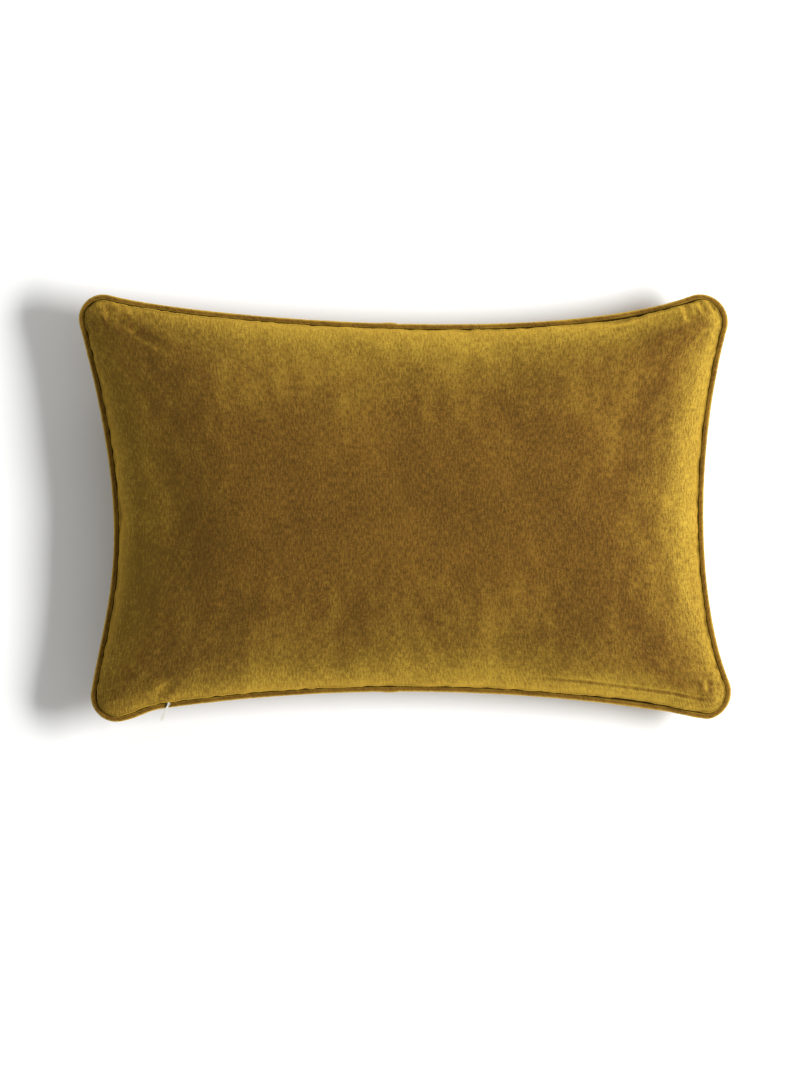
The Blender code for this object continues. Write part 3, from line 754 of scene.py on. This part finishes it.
def panel(name, node, side, places):
    bm = bmesh.new()
    cloth = bm.verts.layers.float_vector.new("flat")
    # This layer marks the seam's groove, where the colour is painted dark as shade.
    groove_shade = bm.verts.layers.float.new("groove_shade")
    table = grid_mesh(bm, FINE)
    deep = np.exp(-(((FINE_DEPTH - FOLD_NOSE) / CREVICE_REACH) ** 2))
    place_grid(table, places, ((cloth, FINE_FLAT), (groove_shade, deep)))
    ring = border(table)
    draw = drawn_back(RING_PLACE, RING_ALONG, side)
    lifts = RING_LIFT if side > 0 else RING_LIFT * 0
    fold = ((GROOVE, RIM_FACE + FOLD_HEIGHT / 2), (FOLD_NOSE, RIM_FACE), (ALLOWANCE, RIM_FACE))
    for inset, height in fold:
        edge = RING_PLACE + RING_INWARD * (inset + draw * (inset < ALLOWANCE))[:, None]
        heights = SEAM_HEIGHT + side * (height + lifts)
        flats = [vert[cloth].copy() for vert in ring]
        ring = add_ring(bm, ring, np.column_stack([edge, heights]))
        for vert, flat, inward in zip(ring, flats, RING_INWARD):
            step = max(inset, FOLD_HEIGHT / 2)
            vert[cloth] = flat - Vector((*inward, 0.0)) * step
            vert[groove_shade] = 1.0
    bmesh.ops.recalc_face_normals(bm, faces=bm.faces)
    bm.faces.ensure_lookup_table()
    middle = table[FINE[0] // 2][FINE[1] // 2].link_faces[0]
    if middle.normal.z * side < 0:
        bmesh.ops.reverse_faces(bm, faces=bm.faces)
    write_uv(bm, cloth)
    obj = smooth_shading(thicken(new_object(name, bm), VELVET))
    return stand_in(obj, node)


front = panel("velvet_front", "front_panel", 1, faces[0])
back = panel("velvet_back", "back_panel", -1, faces[1])
print("panels:", len(front.data.polygons), len(back.data.polygons), "faces")

# %% [markdown]
# ## Piping
# Piping is a bias-cut strip of the velvet folded round a cord, with both edges caught in the
# seam. It is one grid rolled into that section: the lower flange, round the cord, and the upper
# flange. The radius wanders a little along the seam, as it does where a strip is folded and sewn
# by hand, and a small kink half-way along each long side shows where two strips are joined.

# %% Roll a grid along the seam
GROOVE_SIDE = 0.0009


def rolled(name, place, inward, sections, heights, closed):
    """A grid along rim stations: a row of sections (n) and heights (z) for each, and a cloth UV."""
    bm = bmesh.new()
    cells = (len(place) - 1, sections.shape[1] - 1)
    cloth = bm.verts.layers.float_vector.new("flat")
    # This layer marks the seam's groove, where the colour is painted dark as shade.
    groove_shade = bm.verts.layers.float.new("groove_shade")
    deep = smooth_step((sections + GROOVE_SIDE) / GROOVE_SIDE)
    around = travel(np.column_stack([sections[0], heights[0]]))
    flats = np.dstack(np.meshgrid(travel(place), around, indexing="ij"))
    spots = place[:, None] + inward[:, None] * sections[..., None]
    places = np.dstack([spots, SEAM_HEIGHT + heights])
    place_grid(grid_mesh(bm, cells), places, ((cloth, flats), (groove_shade, deep)))
    write_uv(bm, cloth)
    if closed:
        bmesh.ops.remove_doubles(bm, verts=bm.verts, dist=1e-6)
    bmesh.ops.recalc_face_normals(bm, faces=bm.faces)
    return new_object(name, bm)


def closed_ring(count):
    """Stations all the way round the seam, ending where they start."""
    place, inward = sample(WHOLE, np.linspace(0, travel(WHOLE)[-1], count + 1))
    place[-1], inward[-1] = place[0], inward[0]
    return place, inward


# %% Piping cover
PIPING_STATIONS = 1000
PIPING_STEPS = 20
PLUMPNESS = (
    {"share": 0.06, "size": 0.030, "seed": 5.0},
    {"share": 0.05, "size": 0.006, "seed": 9.0},
)
PLUMP_MOST = 1.03
RIPPLE = {"share": 0.03, "size": 0.0035, "seed": 20.0, "turn": 0.01}
JOIN = {"x": -0.014, "width": 0.007, "rise": 0.0008}


def piping_cover():
    place, inward = closed_ring(PIPING_STATIONS)
    at = np.linspace(0, SEAM_LENGTH, PIPING_STATIONS + 1)
    none = np.zeros(at.shape)
    plump = np.ones(at.shape)
    for layer in PLUMPNESS:
        plump += layer["share"] * seam_noise(at, none, layer["size"], layer["seed"])
    plump = np.minimum(plump, PLUMP_MOST)
    opening = math.asin(FLANGE_TOP / PIPING_RADIUS)
    angles = np.linspace(opening, 2 * math.pi - opening, PIPING_STEPS + 1)
    turns = [none + RIPPLE["turn"] * angle for angle in angles]
    ripple = np.array([seam_noise(at, turn, RIPPLE["size"], RIPPLE["seed"]) for turn in turns]).T
    away = (place[:, 0] - JOIN["x"]) / JOIN["width"]
    kink = -JOIN["rise"] * np.exp(-(away**2)) * np.sign(1 - away)
    radius = PIPING_RADIUS * (plump[:, None] * (1 + RIPPLE["share"] * ripple))
    outside = np.clip(-np.cos(angles) * 0.5 + 0.5, 0, 1)
    centre = PIPING_CENTRE + np.outer(kink, outside)
    tube = centre + radius * np.cos(angles)
    rise = radius * np.sin(angles)
    flange = np.full((len(at), 1), ALLOWANCE)
    sections = np.hstack([flange, tube, flange])
    top = np.full((len(at), 1), FLANGE_TOP)
    rise[:, 0], rise[:, -1] = FLANGE_TOP, -FLANGE_TOP
    heights = np.hstack([top, rise, -top])
    obj = rolled("piping_velvet", place, inward, sections, heights, closed=True)
    return stand_in(thicken(smooth_shading(obj), PIPING_CLOTH), "piping_cover")


piping = piping_cover()
print("piping:", len(piping.data.polygons), "faces")

# %% [markdown]
# ## Piping cord
# The cord inside the piping is three cotton plies twisted together. Its section has three lobes,
# and the section turns as it goes along, which is how a rope is modelled without sweeping each
# ply.

# %% Three-ply cord
CORD_RADIUS = 0.00125
CORD_STATIONS = 1200
CORD_TWIST = 0.024
CORD_STEPS = 9
CORD_LOBES = 0.10


def piping_cord():
    place, inward = closed_ring(CORD_STATIONS)
    turns = round(SEAM_LENGTH / CORD_TWIST)
    twist = np.linspace(0, 2 * math.pi * turns, CORD_STATIONS + 1)
    angles = np.linspace(0, 2 * math.pi, CORD_STEPS + 1)
    lobes = np.cos(3 * (angles[None, :] - twist[:, None]))
    radius = CORD_RADIUS * (1 - CORD_LOBES + CORD_LOBES * lobes)
    sections = PIPING_CENTRE + radius * np.cos(angles)
    obj = rolled("cord_plies", place, inward, sections, radius * np.sin(angles), closed=True)
    return stand_in(smooth_shading(obj), "piping_cord")


cord = piping_cord()
print("cord:", len(cord.data.polygons), "faces")

# %% [markdown]
# ## Overlocked edge
# The raw edges of the seam are overlocked together: one thread zigzags over the front allowance,
# turns round the edge and zigzags back under it. The thread is a curve with a round section, made
# a mesh.

# %% Thread and wire along a path
def wire(name, points, radius):
    """A thin round thread through points, with its ends closed."""
    curve = bpy.data.curves.new(name, "CURVE")
    curve.dimensions = "3D"
    curve.bevel_depth = radius
    curve.bevel_resolution = 0
    curve.use_fill_caps = True
    line = curve.splines.new("POLY")
    line.points.add(len(points) - 1)
    flat = np.column_stack([points, np.ones(len(points))])
    line.points.foreach_set("co", flat.ravel())
    holder = bpy.data.objects.new(name, curve)
    bpy.context.scene.collection.objects.link(holder)
    depsgraph = bpy.context.evaluated_depsgraph_get()
    mesh = bpy.data.meshes.new_from_object(holder.evaluated_get(depsgraph))
    bpy.data.objects.remove(holder)
    bpy.data.curves.remove(curve)
    obj = bpy.data.objects.new(name, mesh)
    bpy.context.scene.collection.objects.link(obj)
    return smooth_shading(obj)


def rim_points(line, at, n, z):
    """Points at distances along a line of the seam, n in from it and z above it."""
    place, inward = sample(line, at)
    return np.column_stack([place + inward * np.asarray(n)[:, None], SEAM_HEIGHT + np.asarray(z)])


# %% Overlock stitches on the three sides without the zip
STITCH_PITCH = 0.0026
STITCH_IN = ALLOWANCE - 0.0034
STITCH_OUT = ALLOWANCE + 0.0004
STITCH_TOP = RIM_FACE + VELVET + 0.0004
THREAD_RADIUS = 0.0002


def overlock():
    line = np.concatenate([SIDES[1][:-1], SIDES[2][:-1], SIDES[3]])
    length = travel(line)[-1]
    count = int(length / STITCH_PITCH)
    one = (
        (0.0, STITCH_IN, STITCH_TOP),
        (0.3, STITCH_OUT, STITCH_TOP),
        (0.35, STITCH_OUT, -STITCH_TOP),
        (0.5, STITCH_IN, -STITCH_TOP),
        (0.8, STITCH_OUT, -STITCH_TOP),
        (0.85, STITCH_OUT, STITCH_TOP),
    )
    steps = np.array([(k + share, n, z) for k in range(count) for share, n, z in one])
    points = rim_points(line, steps[:, 0] / count * length, steps[:, 1], steps[:, 2])
    obj = wire("overlock_stitches", points, THREAD_RADIUS)
    return stand_in(obj, "overlock_edging"), count


edging, stitches = overlock()
print("overlock:", stitches, "stitches,", len(edging.data.polygons), "faces")

# %% [markdown]
# ## Zip
# The zip lies folded in its seam, with its teeth towards the piping. Each half is a woven tape
# and a nylon coil, a wire wound flat like a spring. The two coils lie on each other half a turn
# apart. The stops are the frame's own pieces. The slider and its teardrop puller are copies of
# the frame's, merged so that their edges can be rounded.

# %% Tapes
TAPE = 0.0003
TAPE_ROWS = 14
TAPE_FROM, TAPE_TO = 0.0016, 0.0131
TAPE_STEP_FROM, TAPE_STEP_WIDTH = 0.0054, 0.001
TAPE_STATIONS = 180
ZIP_MARGIN = 0.001


def along_zip(low, high):
    """How far along the zip's side a piece's box starts and ends, a little inside it."""
    ends = (low.x + ZIP_MARGIN, high.x - ZIP_MARGIN)
    return np.interp(ends, SIDES[0][:, 0], travel(SIDES[0]))


def zip_tape(name, node):
    """A tape that steps from its coil's height to the height of the allowance it is sewn to."""
    low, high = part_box(node)
    near_coil, at_allowance = {
        "zip_tape_lower": (high.z - TAPE, low.z),
        "zip_tape_upper": (low.z, high.z - TAPE),
    }[node]
    place, inward = sample(SIDES[0], np.linspace(*along_zip(low, high), TAPE_STATIONS + 1))
    n = np.linspace(TAPE_FROM, TAPE_TO, TAPE_ROWS + 1)
    step = smooth_step((n - TAPE_STEP_FROM) / TAPE_STEP_WIDTH)
    z = near_coil + (at_allowance - near_coil) * step - SEAM_HEIGHT
    sections = np.tile(n, (TAPE_STATIONS + 1, 1))
    obj = rolled(name, place, inward, sections, np.tile(z, (TAPE_STATIONS + 1, 1)), closed=False)
    up = sum(face.normal.z for face in obj.data.polygons) > 0
    thicken(smooth_shading(obj), TAPE, offset=1.0 if up else -1.0)
    return stand_in(obj, node)


tapes = [zip_tape("tape_lower", "zip_tape_lower"), zip_tape("tape_upper", "zip_tape_upper")]

# %% Coils
COIL_PITCH = 0.0012
COIL_WIRE = 0.00015
COIL_STEPS = 10
COIL_MIDDLE, COIL_HALF = 0.0029, 0.0013


def zip_coil(name, node, phase):
    low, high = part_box(node)
    start, end = along_zip(low, high)
    turns = int((end - start) / COIL_PITCH)
    angle = np.linspace(0, 2 * math.pi * turns, turns * COIL_STEPS + 1) + phase
    at = np.linspace(start, end, len(angle))
    middle_z, half_z = (low.z + high.z) / 2 - SEAM_HEIGHT, (high.z - low.z) / 2 - COIL_WIRE
    n = COIL_MIDDLE + (COIL_HALF - COIL_WIRE) * np.cos(angle)
    obj = wire(name, rim_points(SIDES[0], at, n, middle_z + half_z * np.sin(angle)), COIL_WIRE)
    print(name, turns, "turns,", len(obj.data.polygons), "faces")
    return stand_in(obj, node)


coils = [
    zip_coil("coil_lower", "zip_coil_lower", 0.0),
    zip_coil("coil_upper", "zip_coil_upper", math.pi),
]


# %% Slider and puller
def rounded(name, node, body, width):
    """A merged copy of a frame node with its edges rounded."""
    bm = bmesh.new()
    bm.from_mesh(frame["nodes"][node].data)
    bmesh.ops.remove_doubles(bm, verts=bm.verts, dist=1e-6)
    bmesh.ops.dissolve_limit(bm, angle_limit=0.02, verts=bm.verts, edges=bm.edges)
    sharp = [e for e in bm.edges if e.is_manifold and e.calc_face_angle(0) > 0.5]
    bmesh.ops.bevel(
        bm,
        geom=sharp,
        offset=width,
        offset_type="OFFSET",
        segments=3,
        profile=0.5,
        affect="EDGES",
        material=-1,
        clamp_overlap=True,
    )
    return stand_in(new_object(name, bm), node, body)


slider = rounded("slider", "zip_slider", "zip_slider", 0.00009)
puller = rounded("puller", "zip_pull", "zip_pull", 0.00018)
print("slider and puller:", len(slider.data.polygons), len(puller.data.polygons), "faces")

# %% [markdown]
# ## Insert
# The insert is a cotton casing full of fibre. It can't be seen, but it comes out when the zip is
# open, so it is made as it is: two plain cotton faces that follow the inflated cover a few
# millimetres inside it, and a lumpy body of fibre in them.

# %% Sheets inside the cover
CASING_CLOTH = 0.0006
CASING_INSET = 0.0142
CASING_GAP = 0.0034
CASING_EDGE = 0.00075
FILLING_INSET = 0.0164
FILLING_GAP = 0.0052
FILLING_EDGE = 0.0006
FIBRE_LUMPS = 0.0022
LUMP_SIZE = 0.045
LUMP_LEVEL = 0.6
LUMP_SEED = 3.0
GAP_RAMP = 0.035


def inside(side, inset, edge, gap, lumps=0.0):
    """Places of a sheet that follows one inflated face, inset from the seam and a gap inside it."""
    grid = coons(*side_rows(inset))[0]
    cover = side * (settled[0 if side > 0 else 1, ..., 2] - SEAM_HEIGHT)
    over_rim = cover - PANEL_RIM - (lift_grid if side > 0 else 0)
    ramp = smooth_step(DEPTH / GAP_RAMP)
    heights = edge + np.maximum(over_rim + PANEL_RIM * ramp - edge * ramp - gap * ramp, 0.0)
    for index in np.ndindex(heights.shape):
        spot = (*(grid[index] / LUMP_SIZE), LUMP_SEED * side)
        heights[index] += lumps * (noise.noise(spot) - LUMP_LEVEL) * ramp[index]
    return np.dstack([grid, SEAM_HEIGHT + side * heights])


def casing(name, node, side):
    bm = bmesh.new()
    cloth = bm.verts.layers.float_vector.new("flat")
    places = inside(side, CASING_INSET, CASING_EDGE, CASING_GAP)
    place_grid(grid_mesh(bm, CELLS), places, ((cloth, FLAT),))
    if side < 0:
        bmesh.ops.reverse_faces(bm, faces=bm.faces)
    write_uv(bm, cloth)
    obj = smooth_shading(thicken(new_object(name, bm), CASING_CLOTH))
    return stand_in(obj, node)


casing_front = casing("casing_cotton_front", "insert_casing_front", 1)
casing_back = casing("casing_cotton_back", "insert_casing_back", -1)


# %% Fibre
def fibre():
    bm = bmesh.new()
    tables = [grid_mesh(bm, CELLS), grid_mesh(bm, CELLS)]
    for table, side in zip(tables, (1, -1)):
        place_grid(table, inside(side, FILLING_INSET, FILLING_EDGE, FILLING_GAP, FIBRE_LUMPS))
    lower = {vert for column in tables[1] for vert in column}
    bmesh.ops.reverse_faces(bm, faces=[f for f in bm.faces if f.verts[0] in lower])
    bmesh.ops.bridge_loops(bm, edges=[e for e in bm.edges if e.is_boundary])
    bmesh.ops.recalc_face_normals(bm, faces=bm.faces)
    obj = smooth_shading(new_object("filling_fibre", bm))
    return stand_in(obj, "insert_filling")


filling = fibre()
print("insert:", [len(o.data.polygons) for o in (casing_front, casing_back, filling)], "faces")

# %% [markdown]
# ## Finishes
# Every finish is made from nodes. Each starts from a Principled shader, and its pattern is worked
# out in metres, so that a number such as 580 is waves per metre.

# %% Node helpers
def start_material(name):
    material = bpy.data.materials.new(name)
    material.use_nodes = True
    tree = material.node_tree
    return material, tree, tree.nodes["Principled BSDF"]


def connect(tree, node, inputs):
    """Link each input to a socket, or set it to a value."""
    for name, value in inputs.items():
        if isinstance(value, bpy.types.NodeSocket):
            tree.links.new(value, node.inputs[name])
        else:
            node.inputs[name].default_value = value
    return node


def add(tree, kind, inputs=None, **settings):
    node = tree.nodes.new(kind)
    for name, value in settings.items():
        setattr(node, name, value)
    return connect(tree, node, inputs or {})


def cloth_uv(tree):
    return add(tree, "ShaderNodeUVMap", uv_map="cloth").outputs["UV"]


def object_place(tree):
    return add(tree, "ShaderNodeTexCoord").outputs["Object"]


def turned(tree, vector, angle=0.0, scale=(1, 1, 1)):
    """The same place, turned in its plane and then scaled along each axis."""
    inputs = {"Vector": vector, "Rotation": (0, 0, math.radians(angle)), "Scale": scale}
    return add(tree, "ShaderNodeMapping", inputs, vector_type="POINT").outputs["Vector"]


def speckle(tree, vector, scale, detail=2.0, roughness=0.5):
    inputs = {"Vector": vector, "Scale": scale, "Detail": detail, "Roughness": roughness}
    return add(tree, "ShaderNodeTexNoise", inputs).outputs["Fac"]


def spread(tree, value, low, high, to_low, to_high):
    """Map a value's range from low to high onto another range, and stop at its ends."""
    inputs = {"Value": value, 1: low, 2: high, 3: to_low, 4: to_high}
    return add(tree, "ShaderNodeMapRange", inputs, clamp=True).outputs["Result"]


def combined(tree, operation, first, second):
    return add(tree, "ShaderNodeMath", {0: first, 1: second}, operation=operation).outputs["Value"]


def summed(tree, first, *rest):
    for value in rest:
        first = combined(tree, "ADD", first, value)
    return first


def blended(tree, factor, first, second):
    """Mix two colours, each a socket or three numbers."""
    first, second = (
        colour if isinstance(colour, bpy.types.NodeSocket) else (*colour, 1.0)
        for colour in (first, second)
    )
    inputs = {0: factor, 6: first, 7: second}
    return add(tree, "ShaderNodeMix", inputs, data_type="RGBA").outputs[2]


def bumped(tree, height, distance, strength=1.0):
    inputs = {"Height": height, "Distance": distance, "Strength": strength}
    return add(tree, "ShaderNodeBump", inputs).outputs["Normal"]


# %% [markdown]
# ### Velvet
# Cotton velvet is dark where one looks straight down into its pile and bright where the pile is
# seen from the side. The shader's sheen, tinted yellow, does part of that. The rest is a painted
# sheen: the base colour turns lighter as the surface turns away from the view. The pile also lies
# in different directions where hands have brushed it, so soft patches are lighter and darker. Its
# rows make fine ribs along the grain, single tufts catch the light as specks, and in the seam's
# groove the colour is painted dark as shade. The colour is also painted darker, as shade, towards
# the left end and the zip's side.

# %% Velvet
PILE_DEEP = (0.048, 0.0215, 0.0028)
PILE_MIDDLE = (0.104, 0.0475, 0.0062)
PILE_LIGHT = (0.185, 0.0905, 0.0118)
# Painted shade for the seam's groove.
GROOVE_PAINTED_SHADE = (0.012, 0.005, 0.0008)
# Painted sheen: colours that the base turns to where the surface is seen edge-on.
PAINTED_SHEEN_DEEP = (0.132, 0.068, 0.0072)
PAINTED_SHEEN_LIGHT = (0.480, 0.318, 0.0360)
SHEEN_TINT = (1.0, 0.60, 0.06, 1.0)


def velvet(name, grain=0.0, patch_scale=13.0, tone=0.0):
    material, tree, shader = start_material(name)
    cloth = turned(tree, cloth_uv(tree), grain)
    brushed = speckle(tree, turned(tree, cloth, 20, (1.0, 0.6, 1.0)), patch_scale, 4.0, 0.55)
    strokes = speckle(tree, turned(tree, cloth, 0, (1.0, 0.45, 1.0)), 70.0, 3.0, 0.6)
    ribs = speckle(tree, turned(tree, cloth, 0, (1.0, 0.28, 1.0)), 580.0, 2.0, 0.7)
    weft = speckle(tree, turned(tree, cloth, 0, (0.3, 1.0, 1.0)), 380.0, 1.0, 0.5)
    tufts = speckle(tree, cloth, 860.0, 3.0, 0.8)
    nap = summed(
        tree,
        spread(tree, brushed, 0.36, 0.64, -0.14, 0.14),
        spread(tree, strokes, 0.35, 0.65, -0.08, 0.08),
    )
    grainy = summed(
        tree,
        spread(tree, ribs, 0.33, 0.67, -0.40, 0.40),
        spread(tree, weft, 0.35, 0.65, -0.07, 0.07),
        spread(tree, tufts, 0.30, 0.70, -0.42, 0.48),
    )
    # The last term is painted shade, darker towards the left end and the zip's side.
    shade = summed(tree, nap, grainy, 0.5 + tone, painted_end_shade(tree, cloth))
    dark = blended(tree, spread(tree, shade, 0.0, 0.5, 0.0, 1.0), PILE_DEEP, PILE_MIDDLE)
    deep = blended(tree, spread(tree, shade, 0.5, 1.0, 0.0, 1.0), dark, PILE_LIGHT)
    # Painted sheen: the base turns lighter where the surface is seen edge-on.
    sides = blended(tree, spread(tree, shade, 0.0, 1.0, 0.0, 1.0), PAINTED_SHEEN_DEEP, PAINTED_SHEEN_LIGHT)
    facing = add(tree, "ShaderNodeLayerWeight", {"Blend": 0.5}).outputs["Facing"]
    leaning = summed(
        tree,
        facing,
        spread(tree, brushed, 0.36, 0.64, -0.020, 0.020),
        spread(tree, strokes, 0.35, 0.65, -0.028, 0.028),
    )
    # Mix in the painted sheen as the surface turns away from the view.
    colour = blended(tree, spread(tree, leaning, 0.035, 0.33, 0.0, 0.78), deep, sides)
    groove_shade = add(tree, "ShaderNodeAttribute", attribute_name="groove_shade").outputs["Fac"]
    # Painted shade: the seam's groove is painted near black.
    colour = blended(tree, combined(tree, "MULTIPLY", groove_shade, 0.92), colour, GROOVE_PAINTED_SHADE)
    pile = summed(tree, combined(tree, "MULTIPLY", ribs, 0.7), tufts)
    inputs = {
        "Base Color": colour,
        "Normal": bumped(tree, pile, 0.00035, 0.5),
        "Roughness": 0.9,
        "Specular IOR Level": 0.12,
        "Sheen Weight": 1.0,
        "Sheen Roughness": 0.5,
        "Sheen Tint": SHEEN_TINT,
    }
    connect(tree, shader, inputs)
    return material


def painted_end_shade(tree, cloth):
    """Painted shade, darker towards the left end and the zip's side, away from the lights."""
    parts = add(tree, "ShaderNodeSeparateXYZ", {"Vector": cloth}).outputs
    left = spread(tree, parts["X"], -0.30, -0.14, -0.46, 0.0)
    zip_side = spread(tree, parts["Y"], -0.19, 0.16, -0.06, 0.05)
    return summed(tree, left, zip_side)


velvet_panel = velvet("pile_velvet")
velvet_bias = velvet("bias_velvet", grain=45.0, patch_scale=30.0, tone=0.20)
for piece in (front, back):
    piece.data.materials.append(velvet_panel)
piping.data.materials.append(velvet_bias)

# %% [markdown]
# ### Cotton, fibre and thread
# The casing is a plain weave, which is two crossed sets of waves. The cord and the fibre are fine
# fluff, stretched along the strands, and the sewing thread is slightly glossy polyester.

# %% Plain weave, fluff and thread
def weave(name, colour, threads, gloss, uneven=0.12):
    """A woven cloth: threads per metre both ways, with slubs."""
    material, tree, shader = start_material(name)
    cloth = cloth_uv(tree)
    waves = []
    for direction in ("X", "Y"):
        inputs = {"Vector": cloth, "Scale": threads / 20, "Distortion": 0.6, "Detail": 1.0}
        node = add(tree, "ShaderNodeTexWave", inputs, bands_direction=direction)
        waves.append(node.outputs["Fac"])
    yarns = combined(tree, "MAXIMUM", *waves)
    slubs = speckle(tree, turned(tree, cloth, 0, (1.0, 0.1, 1.0)), 160.0, 3.0, 0.6)
    shade = summed(tree, spread(tree, yarns, 0.2, 1.0, -0.2, 0.0), slubs)
    dark = tuple(channel * (1 - 2.5 * uneven) for channel in colour)
    mixed = blended(tree, spread(tree, shade, 0.2, 0.7, 0.0, 1.0), dark, colour)
    normal = bumped(tree, yarns, 0.0001, 0.6)
    inputs = {"Base Color": mixed, "Normal": normal, "Roughness": gloss, "Sheen Weight": 0.2}
    connect(tree, shader, inputs)
    return material


def fluff(name, colour, scale, depth):
    material, tree, shader = start_material(name)
    place = object_place(tree)
    strands = speckle(tree, turned(tree, place, 35, (1.0, 0.25, 1.0)), scale, 4.0, 0.65)
    lumps = speckle(tree, place, scale / 9, 3.0, 0.5)
    shade = summed(tree, combined(tree, "MULTIPLY", strands, 0.6), lumps)
    dark = tuple(channel * 0.72 for channel in colour)
    mixed = blended(tree, spread(tree, shade, 0.55, 1.05, 0.0, 1.0), dark, colour)
    normal = bumped(tree, strands, depth, 0.7)
    inputs = {"Base Color": mixed, "Normal": normal, "Roughness": 0.95, "Sheen Weight": 0.4}
    connect(tree, shader, inputs)
    return material


cord.data.materials.append(fluff("twisted_cotton", (0.80, 0.76, 0.68), 1400.0, 0.00012))
filling.data.materials.append(fluff("loose_fibre", (0.90, 0.90, 0.88), 420.0, 0.0006))
edging.data.materials.append(fluff("sewing_thread", (0.34, 0.19, 0.030), 2400.0, 0.00004))
cotton = weave("casing_cotton", (0.85, 0.84, 0.80), 2400, 0.85)
for piece in (casing_front, casing_back):
    piece.data.materials.append(cotton)

# %% [markdown]
# ### Zip finishes
# The tape is a herringbone-like weave dyed to match, the coils are tinted nylon, and the stops
# are satin metal. The slider and puller are lacquered white, with a faint mottle and worn edges.

# %% Zip
WORN_METAL = (0.52, 0.50, 0.46)


def hard_finish(name, colour, roughness, metallic=0.0, coat=0.0, mottle=0.06, worn=False):
    material, tree, shader = start_material(name)
    place = object_place(tree)
    cloudy = speckle(tree, place, 700.0, 3.0, 0.6)
    dark = tuple(channel * (1 - 3 * mottle) for channel in colour)
    shade = blended(tree, spread(tree, cloudy, 0.3, 0.7, 0.0, 1.0), dark, colour)
    if worn:
        edge = add(tree, "ShaderNodeBevel", {"Radius": 0.0001}, samples=4).outputs["Normal"]
        flat = add(tree, "ShaderNodeNewGeometry").outputs["Normal"]
        dot = add(tree, "ShaderNodeVectorMath", {0: edge, 1: flat}, operation="DOT_PRODUCT")
        bare = spread(tree, dot.outputs["Value"], 0.80, 0.97, 0.6, 0.0)
        rubbed = combined(tree, "MULTIPLY", bare, cloudy)
        shade = blended(tree, rubbed, shade, WORN_METAL)
    grain = spread(tree, speckle(tree, place, 2600.0, 2.0, 0.5), 0.3, 0.7, -0.06, 0.06)
    inputs = {
        "Base Color": shade,
        "Normal": bumped(tree, cloudy, 0.00002, 0.5),
        "Roughness": summed(tree, grain, roughness),
        "Metallic": metallic,
        "Coat Weight": coat,
        "Coat Roughness": 0.2,
    }
    connect(tree, shader, inputs)
    return material


tape_weave = weave("zip_tape_weave", (0.36, 0.21, 0.040), 3000, 0.7)
nylon = hard_finish("coil_nylon", (0.40, 0.25, 0.06), 0.45)
stop_metal = hard_finish("stop_metal", (0.70, 0.68, 0.62), 0.38, metallic=0.9)
lacquer = hard_finish("white_lacquer", (0.74, 0.73, 0.67), 0.34, coat=0.5, worn=True)
for piece in tapes:
    piece.data.materials.append(tape_weave)
for piece in coils:
    piece.data.materials.append(nylon)
for piece in (slider, puller):
    piece.data.materials.append(lacquer)
for node in ("zip_top_stop_lower", "zip_top_stop_upper", "zip_bottom_stop"):
    for slot in frame["nodes"][node].material_slots:
        slot.material = stop_metal

# %% [markdown]
# ## Floor, light and camera
# The pillow lies on a pale floor and is seen from straight above. A soft light stands half-way up
# on the right, so the left side falls into shade and its shadow lies on the floor. A fainter,
# lower one brightens the far side. The surroundings are pale, and they fill the shade.

# %% Floor
def floor():
    bm = bmesh.new()
    bmesh.ops.create_grid(bm, x_segments=1, y_segments=1, size=6.0)
    obj = new_object("floor", bm)
    material, tree, shader = start_material("pale_floor")
    tone = speckle(tree, object_place(tree), 3.0, 2.0, 0.5)
    colour = blended(tree, tone, (0.93, 0.93, 0.93), (0.95, 0.95, 0.95))
    connect(tree, shader, {"Base Color": colour, "Roughness": 0.9, "Specular IOR Level": 0.1})
    obj.data.materials.append(material)
    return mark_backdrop(obj)


floor()

# %% Light
def soft_light(name, azimuth, elevation, distance, size, power, colour=(1.0, 1.0, 1.0)):
    """A rectangular light that faces the pillow. Azimuth is counter-clockwise from +X."""
    lamp = bpy.data.lights.new(name, "AREA")
    lamp.shape = "RECTANGLE"
    lamp.size, lamp.size_y = size
    lamp.energy = power
    lamp.color = colour
    obj = bpy.data.objects.new(name, lamp)
    turn, rise = math.radians(azimuth), math.radians(elevation)
    level = math.cos(rise)
    away = Vector((math.cos(turn) * level, math.sin(turn) * level, math.sin(rise)))
    obj.location = away * distance
    obj.rotation_euler = away.to_track_quat("Z", "Y").to_euler()
    bpy.context.scene.collection.objects.link(obj)
    return obj


soft_light("window", azimuth=0, elevation=47, distance=2.6, size=(1.1, 0.6), power=86)
soft_light("far_wall", azimuth=90, elevation=24, distance=2.6, size=(1.8, 0.7), power=9)

world = bpy.data.worlds.new("pale_room")
world.use_nodes = True
backdrop = world.node_tree.nodes["Background"]
backdrop.inputs["Color"].default_value = (0.990, 0.995, 0.970, 1.0)
backdrop.inputs["Strength"].default_value = 0.41
bpy.context.scene.world = world
bpy.context.scene.view_settings.view_transform = "Standard"

# %% Camera
CAMERA_HEIGHT = 5.0
VIEW_CENTRE = (-0.00465, -0.0237)
VIEW_HEIGHT = 0.9923

lens = bpy.data.cameras.new("camera")
lens.sensor_width = 36.0
lens.lens = lens.sensor_width * CAMERA_HEIGHT / VIEW_HEIGHT
lens.clip_end = 50.0
camera = bpy.data.objects.new("camera", lens)
camera.location = (*VIEW_CENTRE, SEAM_HEIGHT + CAMERA_HEIGHT)
bpy.context.scene.collection.objects.link(camera)
bpy.context.scene.camera = camera

# %% Sizes, and the end
new_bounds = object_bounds()
for name, box in (("CAD", cad_bounds), ("visual", new_bounds)):
    print(name, "box:", [round((b - a) * 1000, 1) for a, b in zip(*box)], "mm")
